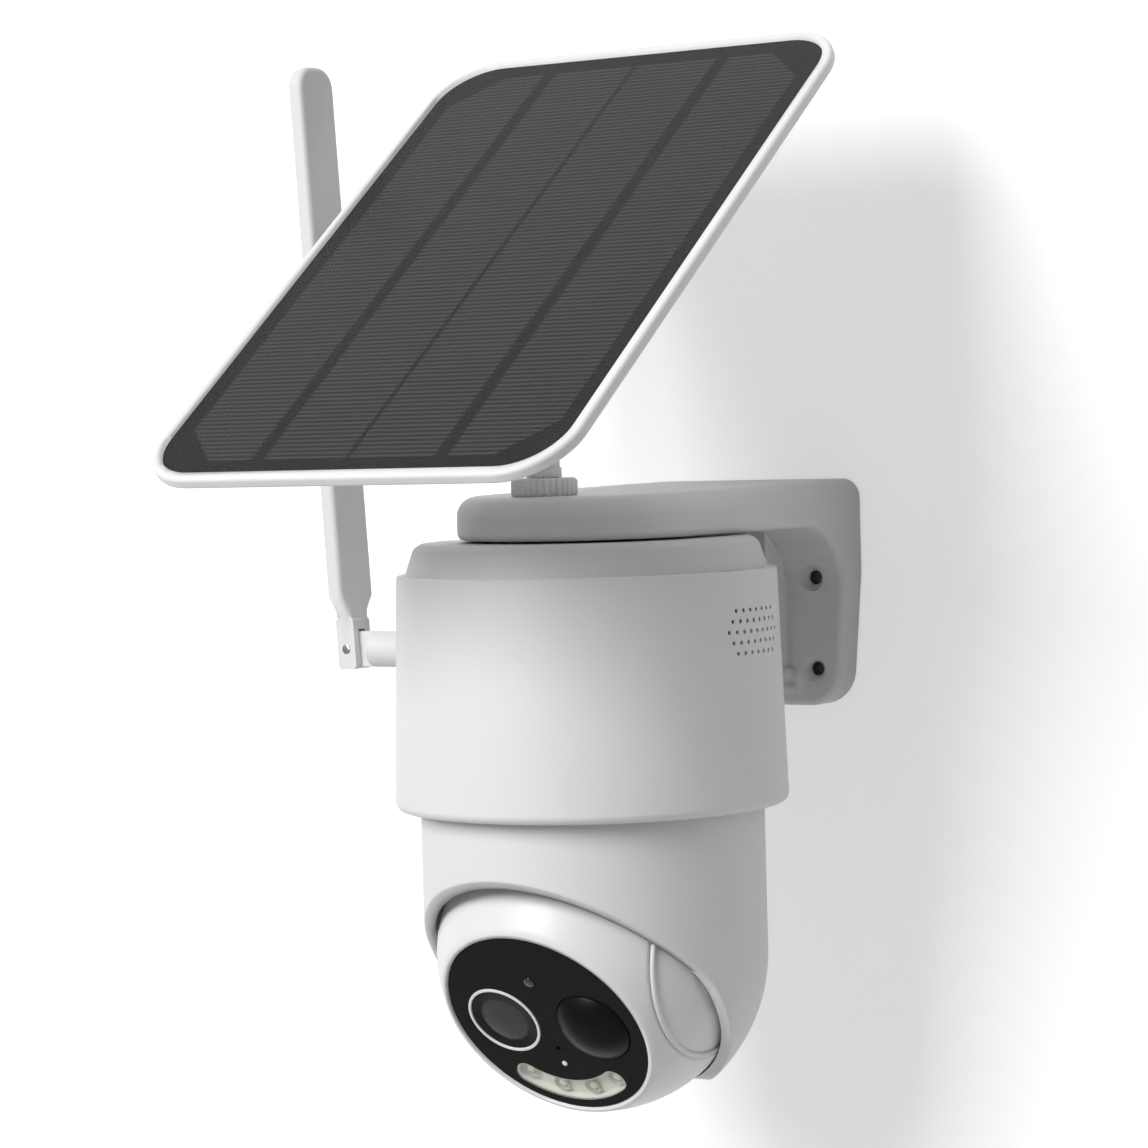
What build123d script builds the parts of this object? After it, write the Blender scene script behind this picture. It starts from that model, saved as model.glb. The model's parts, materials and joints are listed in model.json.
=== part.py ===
"""Solar pan-and-tilt security camera on an L-shaped wall bracket.

Frame: millimetres, +Z up. The wall is the plane Y = 0 and the camera stands out towards -Y. The origin is
the centre of the bracket's four screw holes on its back face.
"""
from build123d import *
import math
import os

# Wall bracket
WALL_ROOM = 29.0        # body to the wall
RIM_Z = 16.0            # top rim of the sleeve above the screw pattern's centre
ARM_T = 9.6             # thickness of the arm under the lock nut
ARM_RISE = 1.2          # rise of its top from there to the wall
ARM_TOP_R = 4.6         # rounding of its top edge
ARM_END_R = 29.2        # round end of the arm, about the pan axis
ARM_WALL_HW = 30.1      # half width of the arm where it meets the wall
ARM_GAP = 0.5           # shadow gap between cap and arm
ARM_SKIN = 3.0          # walls of the hollow under the arm
ARM_RIB = 2.5
PLATE_T = 8.0
PLATE_DROP = 35.9       # lower edge of the plate below the sleeve's rim
PLATE_FOOT_HW = 27.3    # half width at the lower edge
PLATE_CORNER_R = 9.0
PLATE_POCKET = 4.5      # depth of the hollow in the plate's back
PLATE_SKIN = 3.0
KNEE_R = 16.0           # inner fillet between arm and plate
EDGE_R = 1.6            # rounding of the bracket's other edges
HOLE_DX = 42.0          # screw pattern
HOLE_DZ = 22.0
HOLE_R = 1.6
SINK_R = 3.2            # countersink
SINK_DEPTH = 2.0
BOSS_R = 5.5
SPINE_HW = 14.0         # raised rib on the plate behind the body
SPINE_PROUD = 10.0
SPINE_DROP = 4.0        # its foot below the lower screws
SPINE_FOOT_HW = 15.0
SPINE_FOOT_H = 4.2
SPINE_FOOT_PROUD = 14.0

# Body
CAP_INSET = 2.0         # ledge between the sleeve's rim and the cap
CAP_H = 7.1
CAP_SHOULDER_H = 5.9
CAP_SHOULDER_IN = 2.0   # shoulder inside the cap's base
CAP_TOP_IN = 3.8        # flat top inside the cap's base
CAP_EDGE_R = 2.0
CAP_WALL = 2.4
CAP_BOSS_R = 24.0       # raised disc that carries the arm
SPIGOT_H = 4.0
SEAL_W = 1.2
SLEEVE_WALL = 2.6
SLEEVE_FLARE = 1.6      # the foot is this much wider than the rim
SLEEVE_LIP_R = 0.7
SLEEVE_FOOT_FILLET = 1.9
SKIRT_H = 7.4           # depth of the recess under the floor, round the head
SKIRT_WALL = 4.5
SKIRT_AIR = 1.2         # room between skirt and head
FLOOR_T = 2.5
FIT = 0.05              # radial running clearance of shafts
SLIP = 0.2              # clearance of pieces that drop in
AIR = 0.4               # clearance between shells that turn past each other

# Fasteners
SCREW_R = 1.3
SCREW_HEAD_R = 2.5
SCREW_HEAD_H = 1.4
BODY_SCREW_PCR = 17.0

# Speaker grille
GRILLE_ROWS = (7, 8, 9, 8, 7)
GRILLE_STEP = 2.66
GRILLE_ROW_STEP = 2.36
GRILLE_Z = -13.4
GRILLE_TURN = 2.9       # round the body towards the wall
GRILLE_HOLE_R = 0.5
SPEAKER_R = 11.5
SPEAKER_T = 4.6
SPEAKER_RIM = 1.6
SPEAKER_SEAT = 1.2      # ring round the speaker
MAGNET_R = 5.7
MAGNET_T = 3.0

# Batteries and boards
CELL_R = 9.1
CELL_L = 65.0
CELL_TIP_R = 3.2
CELL_TIP_H = 1.0
CELL_GAP = 0.3
TRAY_WALL = 1.1
TRAY_FLOOR = 1.4
BOARD_T = 1.6
BOARD_W = 33.0
BOARD_H = 30.0
BOARD_AIR = 1.65        # board corners to the sleeve
CHIP_W = 11.0
CHIP_H = 1.8
PORT_Z = -15.0
PORT_W = 9.4
PORT_H = 3.6
PORT_WALL = 0.5
FLAT_W = 19.0           # flat on the back of the sleeve for port and button
FLAT_H = 24.0
FLAT_DEPTH = 1.0
FLAP_W = 15.0
FLAP_H = 8.0
FLAP_T = 1.5
FLAP_PLUG = 1.2
FLAP_CORNER_R = 1.5
BUTTON_Z = -25.5
BUTTON_R = 2.4
BUTTON_PROUD = 0.8
BUTTON_FLANGE = 0.9
BUTTON_FLANGE_R = 3.4
BUTTON_TRAVEL = 0.6
SWITCH_W = 6.0

# Pan drive
PAN_MODULE = 1.0
PAN_GEAR_N = 45
PAN_PINION_N = 14
GEAR_T = 4.5
PRESSURE_DEG = 25.0
BACKLASH = 0.16
HUB_R = 11.0
HUB_BORE_R = 6.5
BUSH_WALL = 2.4
BUSH_FLANGE_R = 16.0
PAN_MOTOR_H = 12.0
PAN_MOTOR_AIR = 0.65    # motor to battery tray
MOTOR_PLATE = 1.0
MOTOR_EAR = 13.0
MOTOR_EAR_R = 2.2
DRIVE_AIR = 0.3         # above and below the gear
TRAY_POST_R = 2.5
TRAY_POST_IN = 4.0      # posts in from the tray's corners
SHAFT_R = 1.5

# Head
SHELL_WALL = 2.5
SHELL_ROOF_AIR = 1.5    # roof of the shell above the ball
SHELL_EDGE_R = 1.5
HEAD_GAP = 1.0          # head below the sleeve's floor
LIP_Z = 20.7            # front of the opening's lip above the ball centre
LIP_SLOPE = 39.4        # fall of the lip towards the back, in degrees
KNEE_Y = -11.7          # where the lip turns steeper, from the pan axis
LIP_FALL = 50.8         # fall of the lip behind the knee, in degrees
LIP_R = 38.5            # bend of the lip at the knee
RIM_DROP = 30.3         # level lower rim of the shell below the ball centre
RIM_BEND_R = 6.0        # bend of the lip into the lower rim
LIP_EDGE_R = 0.7        # rounding of the lip
BALL_WALL = 2.2
ZONE_IN = 8.0           # seams of the ball in from its sides
ZONE_EDGE_R = 0.8
CAP_STEP = 0.7          # side caps lie this much inside the middle zone
POLE_IN = 2.5           # flat of the side caps in from the sphere
CAP_SPIGOT = 1.6        # collar of a side cap inside the middle zone
TILT_PIN_R = 3.0
TILT_BOSS_R = 9.0
TILT_BOSS_SKIN = 1.1
TILT_DOWN = 33.0        # photographed tilt below the horizontal
TILT_MODULE = 0.8
TILT_GEAR_N = 25
TILT_PINION_N = 12
TILT_GEAR_T = 3.0
TILT_MOTOR_R = 7.6
TILT_MOTOR_L = 13.0
BALL_POST_R = 3.4       # posts that screw the ball's halves together
BALL_POST_IN = 3.3
BALL_POST_H = 7.0
BALL_POST_DEG = 61.0

# Face
FACE_RIM = 0.3
FACE_LIP = 1.4          # white edge round the face
FACE_R = 25.3
FACE_T = 1.9
SEAL_T = 0.4
LEDGE_W = 2.8
LEDGE_T = 2.0
LENS_X = -11.7
LENS_RING_R = 9.2
LENS_RING_W = 0.7
LENS_R = 6.2
LENS_DEPTH = 0.4
LENS_GLASS_T = 1.2
LENS_CROWN = 0.5
BARREL_WALL = 1.1
LENS_FOOT = 6.0         # sensor board in front of the ball centre
PIR_X = 12.4
PIR_R = 9.2
PIR_RISE = 4.2
PIR_WALL = 0.8
PIR_CAN_R = 4.1
PIR_CAN_H = 3.6
LED_ARC_R = 20.0
LED_ARC_W = 5.8
LED_ARC_HALF = 36.0
LED_N = 4
LED_R = 1.6
LED_H = 2.0
EYE_Y = 12.3
EYE_R = 1.3
MIC_Y = -7.5
MIC_R = 0.5
MIC_CAN_R = 1.9
SENSOR_BOARD_R = 19.0
STATUS_Y = -12.0
STATUS_R = 0.65

# Antenna
STUB_R = 4.3
STUB_Z = -18.7
STUB_SINK = 0.6         # spot face for the stub in the sleeve
STUB_L = 18.1
SHANK_R = 3.5
NUT_AF = 10.0
NUT_T = 3.0
PIN_OUT = 5.8           # pin axis beyond the end of the stub
KNUCKLE_W = 5.2
KNUCKLE_Y = 6.4
KNUCKLE_FOOT = 4.8
TONGUE_T = 2.4
TONGUE_R = 4.2
TONGUE_AIR = 0.1
ANT_PIN_R = 1.2
PADDLE_L = 139.0        # pin axis to tip
PADDLE_W = 13.0
PADDLE_T = 4.2
PADDLE_NECK = 7.5
PADDLE_SHOULDER = 12.5
PADDLE_TIP_R = 5.0
PADDLE_EDGE_R = 1.3
PADDLE_LEAN = 3.5

# Solar panel
SLOPE = 37.9
POST_Y = -16.0          # post in front of the pan axis
PIVOT_H = 35.6          # knuckle above the arm
PANEL_D = 24.8          # glass in front of the knuckle
GLASS_W = 105.6
GLASS_H = 154.2
GLASS_R = 13.0
GLASS_T = 0.6
CELL_T = 0.25
CELL_MARGIN = 4.8
STRIP_GAP = 1.2         # down the middle
STRIP_GAP_WIDE = 3.4    # at the quarters
STRIP_CHAMFER = 10.8    # corners of the field
PANEL_BOARD_T = 0.8
BEZEL = 2.4
BEZEL_PROUD = 0.3
FRAME_T = 2.9
FRAME_EDGE_R = 0.9
FRAME_LAND = 16.0
PANEL_SCREW_IN = 11.5   # screws of the back cover in from the glass edge
SCREW_BITE = 0.7
BACK_RIM = 3.5          # cover beyond its screws
BACK_R = 10.0
BACK_T = 5.0
BACK_WALL = 1.8
LUG_T = 3.6
LUG_R = 7.0
LUG_BASE = 22.0
TONGUE_HW = 5.0
BOLT_R = 2.5
BOLT_HEAD_R = 4.4
BOLT_HEAD_T = 3.0
KNOB_R = 7.0
KNOB_T = 6.0
POST_R = 3.6
POST_FOOT_R = 4.0
POST_FOOT_T = 2.2
STUD_R = 3.0
INSERT_R = 4.5
INSERT_L = 8.0
NUT_R = 7.5
NUT_H = 4.3
NUT_SINK = 0.2          # spot face for the nut in the arm
NUT_CHAMFER = 0.7
KNURL_N = 32
KNURL_DEPTH = 0.45

PAN_CENTRES = PAN_MODULE * (PAN_GEAR_N + PAN_PINION_N) / 2
TILT_CENTRES = TILT_MODULE * (TILT_GEAR_N + TILT_PINION_N) / 2
TRAY_HW = 2 * CELL_R + CELL_GAP / 2 + TRAY_WALL
TRAY_HL = CELL_L / 2 + CELL_GAP + TRAY_WALL
TRAY_POST_X = TRAY_HW - TRAY_POST_IN
TRAY_POST_Y = TRAY_HL - TRAY_POST_IN
PAN_MOTOR_R = PAN_CENTRES - TRAY_HW - PAN_MOTOR_AIR

# The sleeve closes round the boards on the tray, and the head follows the sleeve
SLEEVE_TOP_R = math.hypot(BOARD_W / 2, TRAY_HL + BOARD_T) + BOARD_AIR + SLEEVE_WALL
SLEEVE_FOOT_R = SLEEVE_TOP_R + SLEEVE_FLARE
SLEEVE_H = SKIRT_H + FLOOR_T + 3 * DRIVE_AIR + GEAR_T + TRAY_FLOOR + 4 * CELL_R + CELL_GAP
REACH = SLEEVE_FOOT_R + WALL_ROOM
CAP_BASE_R = SLEEVE_TOP_R - CAP_INSET
CAP_SHOULDER_R = CAP_BASE_R - CAP_SHOULDER_IN
CAP_TOP_R = CAP_BASE_R - CAP_TOP_IN
SHELL_R = SLEEVE_FOOT_R - SKIRT_WALL - SKIRT_AIR
BALL_R = SHELL_R - SHELL_WALL - AIR
SHELL_TOP = BALL_R + SHELL_ROOF_AIR + SHELL_WALL
BALL_DROP = SLEEVE_H - SKIRT_H + HEAD_GAP + SHELL_TOP
ZONE_HW = BALL_R - ZONE_IN
POLE_X = BALL_R - POLE_IN
TILT_GEAR_X = ZONE_HW - CAP_SPIGOT - DRIVE_AIR - TILT_GEAR_T
FACE_D = math.sqrt(BALL_R ** 2 - (FACE_R + FACE_LIP) ** 2)
BACK_W = GLASS_W - 2 * PANEL_SCREW_IN + 2 * BACK_RIM
BACK_H = GLASS_H - 2 * PANEL_SCREW_IN + 2 * BACK_RIM

BODY = Pos(0, -REACH, RIM_Z)
HEAD = BODY * Pos(0, 0, -BALL_DROP)
FACE = HEAD * Rot(90 + TILT_DOWN, 0, 0)
ARM_LOW = CAP_H + ARM_GAP
ARM_HIGH = ARM_LOW + ARM_T
PIVOT = BODY * Pos(0, POST_Y, ARM_HIGH + PIVOT_H)
PANEL = PIVOT * Rot(SLOPE, 0, 0)
LOW = (Align.CENTER, Align.CENTER, Align.MIN)
AHEAD = (Align.CENTER, Align.MIN, Align.CENTER)
BEHIND = (Align.CENTER, Align.MAX, Align.CENTER)
PARTS = {}


def rod(radius, low, high):
    return Pos(0, 0, low) * Cylinder(radius, high - low, align=LOW)


def tube(outer, inner, low, high):
    return rod(outer, low, high) - rod(inner, low - 1, high + 1)


def along_x(shape):
    """Lay a shape that was built along Z down along +X."""
    return Rot(0, 90, 0) * shape


def along_y(shape):
    """Lay a shape that was built along Z down along +Y."""
    return Rot(-90, 0, 0) * shape


def slab(width, length, low, high):
    return Pos(0, 0, low) * Box(width, length, high - low, align=LOW)


def turned(points):
    """Solid of revolution about Z from (radius, height) points."""
    return revolve(make_face(Plane.XZ * Polyline(*points, close=True)), Axis.Z)


def rounded_plate(width, height, radius, low, high):
    return Pos(0, 0, low) * extrude(RectangleRounded(width, height, radius), high - low)


def screw(length):
    """Pan-head screw pointing down -Z, seat of the head at Z = 0."""
    return rod(SCREW_R, -length, 0) + rod(SCREW_HEAD_R, 0, SCREW_HEAD_H)


def group(solids):
    return Compound([s for shape in solids for s in shape.solids()])


def involute_face(module, teeth, turn=0.0):
    """Outline of a spur gear with true involute flanks, one tooth centred on +X turned by an angle."""
    pitch = module * teeth / 2
    base = pitch * math.cos(math.radians(PRESSURE_DEG))
    tip = pitch + 0.9 * module
    root = pitch - 1.2 * module
    pressure = math.radians(PRESSURE_DEG)
    half = math.pi / (2 * teeth) - BACKLASH / (2 * pitch) + math.tan(pressure) - pressure
    flank = []
    for step in range(4):
        radius = max(base, root) + (tip - max(base, root)) * step / 3
        roll = math.acos(min(1.0, base / radius))
        flank.append((radius, half - (math.tan(roll) - roll)))
    side = [(root, flank[0][1])] + flank if base > root else flank
    points = []
    for tooth in range(teeth):
        middle = math.radians(turn) + 2 * math.pi * tooth / teeth
        for radius, angle in side:
            points.append((radius * math.cos(middle - angle), radius * math.sin(middle - angle)))
        for radius, angle in reversed(side):
            points.append((radius * math.cos(middle + angle), radius * math.sin(middle + angle)))
    return make_face(Polyline(*points, close=True))


def knurled(radius, low, high, count):
    """Disc with straight grip ribs round its edge."""
    points = []
    for rib in range(count):
        for part, depth in ((0.0, KNURL_DEPTH), (0.22, 0.0), (0.62, 0.0), (0.84, KNURL_DEPTH)):
            angle = 2 * math.pi * (rib + part) / count
            points.append(((radius - depth) * math.cos(angle), (radius - depth) * math.sin(angle)))
    disc = Pos(0, 0, low) * extrude(make_face(Polyline(*points, close=True)), high - low)
    rim = radius + 1
    top = radius - NUT_CHAMFER
    slant = rim - top
    envelope = turned([
        (0, low), (top, low), (rim, low + slant), (rim, high - slant), (top, high), (0, high)])
    return disc & envelope


def sleeve_r(z):
    """Outer radius of the tapered sleeve at a height below its rim."""
    return SLEEVE_TOP_R + (SLEEVE_FOOT_R - SLEEVE_TOP_R) * -z / SLEEVE_H


def bore_r(z):
    return sleeve_r(z) - SLEEVE_WALL


# Levels inside the body, from the sleeve's rim
FLOOR_LOW = -SLEEVE_H + SKIRT_H
FLOOR_TOP = FLOOR_LOW + FLOOR_T
SHELL_Z = -BALL_DROP + SHELL_TOP
GEAR_LOW = FLOOR_TOP + DRIVE_AIR
GEAR_TOP = GEAR_LOW + GEAR_T
MOTOR_LOW = GEAR_TOP + DRIVE_AIR
TRAY_LOW = MOTOR_LOW + DRIVE_AIR
CELL_LOW = TRAY_LOW + TRAY_FLOOR
FLAT_Y = sleeve_r(PORT_Z) - FLAT_DEPTH


def arm_outline(inset):
    """Plan of the arm: round end about the pan axis, sides flaring gently to the wall."""
    radius = ARM_END_R - inset
    lean = math.asin((ARM_WALL_HW - ARM_END_R) / REACH)
    x = radius * math.cos(lean)
    y = -REACH - radius * math.sin(lean)
    wall = (radius + REACH * math.sin(lean)) / math.cos(lean)
    edges = ThreePointArc((-x, y), (0, -REACH - radius), (x, y))
    sides = Polyline((x, y), (wall, 0), (-wall, 0), (-x, y))
    return make_face(edges + sides)


def make_bracket():
    top = RIM_Z + ARM_HIGH
    low = RIM_Z + ARM_LOW
    foot = RIM_Z - PLATE_DROP
    peak = top + NUT_SINK + ARM_RISE
    nut_y = POST_Y - REACH - NUT_R - AIR
    tip = nut_y - ARM_END_R
    tip_z = top + NUT_SINK + ARM_RISE * (1 - tip / nut_y)
    profile = make_face(Plane.YZ * Polyline(
        (0, peak), (tip, tip_z), (tip, low), (-PLATE_T, low), (-PLATE_T, foot), (0, foot), close=True))
    knee = profile.vertices().sort_by_distance((0, -PLATE_T, low))[0]
    side = extrude(fillet(knee, KNEE_R), 2 * ARM_WALL_HW, both=True)
    plan = Pos(0, 0, foot - 1) * extrude(arm_outline(0), peak - foot + 2)
    wide = ARM_WALL_HW + 1
    outline = make_face(Polyline(
        (-PLATE_FOOT_HW, foot), (PLATE_FOOT_HW, foot), (wide, low), (wide, peak + 1),
        (-wide, peak + 1), (-wide, low), close=True))
    corners = outline.vertices().sort_by(Axis.Y)[:2]
    outline = fillet(corners, PLATE_CORNER_R)
    sheet = Plane.XZ * extrude(outline, 2 * REACH, both=True)
    bracket = side & plan & sheet
    brow = [e for e in bracket.edges() if e.bounding_box().min.Z > low + ARM_T / 2]
    bracket = fillet([e for e in brow if e.bounding_box().max.Y < -0.01], ARM_TOP_R)
    outer = [e for e in bracket.edges() if e.bounding_box().max.Z < low + ARM_T / 2]
    bracket = fillet([e for e in outer if e.center().Y < -0.5 and e.bounding_box().max.Y < -0.01], EDGE_R)
    bracket = bracket - BODY * Pos(0, POST_Y, 0) * rod(NUT_R + AIR, ARM_HIGH, ARM_HIGH + ARM_T)
    # Rib behind the body, with its wider foot
    spine_low = -HOLE_DZ / 2 - SPINE_DROP
    rise = low - spine_low
    seat = Pos(0, -PLATE_T, spine_low)
    spine = seat * Box(2 * SPINE_HW, 2 * SPINE_PROUD, rise, align=LOW)
    step = seat * Box(2 * SPINE_FOOT_HW, 2 * SPINE_FOOT_PROUD, SPINE_FOOT_H, align=LOW)
    ahead = Pos(0, -PLATE_T / 2, 0) * Box(2 * REACH, 2 * REACH, 4 * REACH, align=BEHIND)
    room = BODY * rod(SLEEVE_FOOT_R + AIR, -SLEEVE_H - 1, 0)
    bracket = bracket + ((spine + step) & ahead) - room
    # Hollow under the arm, with bosses and ribs
    pocket = Pos(0, 0, low - 1) * extrude(arm_outline(ARM_SKIN), ARM_T - ARM_SKIN + 1)
    open_air = Pos(0, -PLATE_T - KNEE_R - ARM_SKIN, 0) * Box(2 * REACH, 2 * REACH, 4 * REACH, align=BEHIND)
    pocket = pocket & open_air
    keep = BODY * Pos(0, POST_Y, 0) * rod(INSERT_R + ARM_SKIN, 0, ARM_HIGH)
    for spot in PolarLocations(BODY_SCREW_PCR, 3, 90):
        keep = keep + BODY * spot * rod(SCREW_R + ARM_SKIN, 0, ARM_HIGH)
    keep = keep + BODY * slab(ARM_RIB, 2 * REACH, 0, ARM_HIGH)
    keep = keep + BODY * slab(2 * REACH, ARM_RIB, 0, ARM_HIGH)
    bracket = bracket - (pocket - keep)
    for spot in PolarLocations(BODY_SCREW_PCR, 3, 90):
        bracket = bracket - BODY * spot * rod(SCREW_R, 0, ARM_HIGH - ARM_SKIN)
    bracket = bracket - BODY * Pos(0, POST_Y, 0) * rod(INSERT_R, ARM_HIGH - INSERT_L, ARM_HIGH + 1)
    bracket = bracket - BODY * Pos(0, POST_Y, 0) * rod(STUD_R + AIR, 0, ARM_HIGH)
    # Hollow in the plate's back round the screw bosses and a cross of ribs, then the countersunk holes
    low_x = PLATE_FOOT_HW - PLATE_SKIN
    high_x = ARM_END_R - PLATE_SKIN
    hollow = make_face(Polyline(
        (-low_x, foot + PLATE_SKIN), (low_x, foot + PLATE_SKIN), (high_x, top - PLATE_SKIN),
        (-high_x, top - PLATE_SKIN), close=True))
    hollow = fillet(hollow.vertices(), PLATE_CORNER_R - PLATE_SKIN)
    cave = Plane.XZ * extrude(hollow, PLATE_POCKET)
    cave = cave - slab(ARM_RIB, REACH, foot, top) - Box(2 * REACH, REACH, ARM_RIB)
    for spot in GridLocations(HOLE_DX, HOLE_DZ, 2, 2):
        cave = cave - Plane.XZ * spot * Cylinder(BOSS_R, REACH)
    bracket = bracket - cave
    drill = Cylinder(HOLE_R, 60) + Pos(0, 0, PLATE_T - SINK_DEPTH) * Cone(
        HOLE_R, SINK_R, SINK_DEPTH, align=LOW) + rod(SINK_R, PLATE_T, PLATE_T + 20)
    for spot in GridLocations(HOLE_DX, HOLE_DZ, 2, 2):
        bracket = bracket - Plane.XZ * spot * drill
    return bracket


def make_cap():
    roof = CAP_H - CAP_WALL
    inner = CAP_BASE_R - CAP_WALL
    profile = [(0, ARM_LOW), (CAP_BOSS_R, ARM_LOW), (CAP_BOSS_R, CAP_H), (CAP_TOP_R, CAP_H),
               (CAP_SHOULDER_R, CAP_SHOULDER_H), (CAP_BASE_R, 0), (spigot_r(), 0), (spigot_r(), -SPIGOT_H),
               (spigot_r() - CAP_WALL, -SPIGOT_H), (inner - CAP_WALL / 2, 0), (CAP_TOP_R - CAP_WALL, roof)]
    cap = turned(profile + [(0, roof)])
    cap = fillet(outer_rim(cap, CAP_H), CAP_EDGE_R)
    cap = fillet(outer_rim(cap, CAP_SHOULDER_H), CAP_EDGE_R)
    groove = -SPIGOT_H / 2 - SEAL_W / 2
    cap = cap - tube(spigot_r() + 1, spigot_r() - SEAL_W, groove, groove + SEAL_W)
    for spot in PolarLocations(BODY_SCREW_PCR, 3, 90):
        cap = cap - spot * rod(SCREW_R, 0, ARM_LOW + 1)
    cap = cap - Pos(0, POST_Y, 0) * rod(STUD_R + AIR, ARM_LOW - ARM_GAP, ARM_LOW + 1)
    return BODY * cap


def spigot_r():
    return bore_r(0) - SLIP / 2


def make_seal():
    groove = -SPIGOT_H / 2 - SEAL_W / 2
    return BODY * tube(bore_r(0) - FIT, spigot_r() - SEAL_W, groove, groove + SEAL_W)


def outer_rim(shape, z):
    """The widest circular edge of a turned shape at a height."""
    rims = [e for e in shape.edges().filter_by(GeomType.CIRCLE) if abs(e.center().Z - z) < 0.01]
    return max(rims, key=lambda e: e.radius)


def make_sleeve():
    skirt = SHELL_R + SKIRT_AIR
    inner = [(bore_r(0), 0), (bore_r(0), -SPIGOT_H - 1), (bore_r(FLOOR_TOP), FLOOR_TOP)]
    floor = [(HUB_R + FIT + BUSH_WALL, FLOOR_TOP), (HUB_R + FIT + BUSH_WALL, FLOOR_LOW), (skirt, FLOOR_LOW)]
    outer = [(skirt, -SLEEVE_H), (SLEEVE_FOOT_R, -SLEEVE_H), (SLEEVE_TOP_R, 0)]
    sleeve = turned(inner + floor + outer)
    sleeve = fillet(outer_rim(sleeve, 0), SLEEVE_LIP_R)
    sleeve = fillet(outer_rim(sleeve, -SLEEVE_H), SLEEVE_FOOT_FILLET)
    # Posts for the battery tray and the pan motor
    for x in (-TRAY_POST_X, TRAY_POST_X):
        for y in (-TRAY_POST_Y, TRAY_POST_Y):
            sleeve = sleeve + Pos(x, y, 0) * rod(TRAY_POST_R, FLOOR_LOW + 1, TRAY_LOW)
    for y in (-MOTOR_EAR, MOTOR_EAR):
        sleeve = sleeve + Pos(-PAN_CENTRES, y, 0) * rod(MOTOR_EAR_R, FLOOR_LOW + 1, MOTOR_LOW)
    # Speaker seat and grille on the +X side
    seat = along_x(tube(SPEAKER_R + SPEAKER_SEAT, SPEAKER_R - SPEAKER_RIM, SPEAKER_X, SLEEVE_FOOT_R))
    seat = Pos(0, 0, GRILLE_Z) * seat & rod(bore_r(GRILLE_Z) + SLEEVE_WALL / 2, -SLEEVE_H, -SPIGOT_H - AIR)
    sleeve = sleeve + Rot(0, 0, GRILLE_TURN) * seat
    drills = []
    for row, count in enumerate(GRILLE_ROWS):
        z = GRILLE_Z + ((len(GRILLE_ROWS) - 1) / 2 - row) * GRILLE_ROW_STEP
        for i in range(count):
            turn = math.degrees((i - (count - 1) / 2) * GRILLE_STEP / sleeve_r(z))
            hole = Pos(SPEAKER_X, 0, z) * along_x(rod(GRILLE_HOLE_R, 0, SLEEVE_FOOT_R))
            drills.append(Rot(0, 0, GRILLE_TURN + turn) * hole)
    sleeve = sleeve - drills
    # Antenna hole on the -X side
    out = -2 * SLEEVE_FOOT_R
    sleeve = sleeve - Pos(0, 0, STUB_Z) * along_x(rod(SHANK_R + FIT, out, -TRAY_HW))
    sleeve = sleeve - Pos(0, 0, STUB_Z) * along_x(rod(STUB_R + AIR, out, -STUB_FACE))
    # Flat on the back with the charging port and the button hole
    mid = (PORT_Z + BUTTON_Z) / 2
    sleeve = sleeve - Pos(0, FLAT_Y, mid) * Box(FLAT_W, SLEEVE_FOOT_R, FLAT_H, align=AHEAD)
    sleeve = sleeve - Pos(0, FLAT_Y, PORT_Z) * Box(PORT_W + SLIP, 4 * SLEEVE_WALL, PORT_H + SLIP)
    sleeve = sleeve - Pos(0, 0, BUTTON_Z) * along_y(rod(BUTTON_R + FIT, TRAY_HL, 2 * TRAY_HL))
    return BODY * sleeve


# Faces that other pieces seat on
STUB_FACE = sleeve_r(STUB_Z) - STUB_SINK
SPEAKER_X = math.sqrt(bore_r(GRILLE_Z) ** 2 - (SPEAKER_R + SPEAKER_SEAT) ** 2) - SPEAKER_RIM


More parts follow.
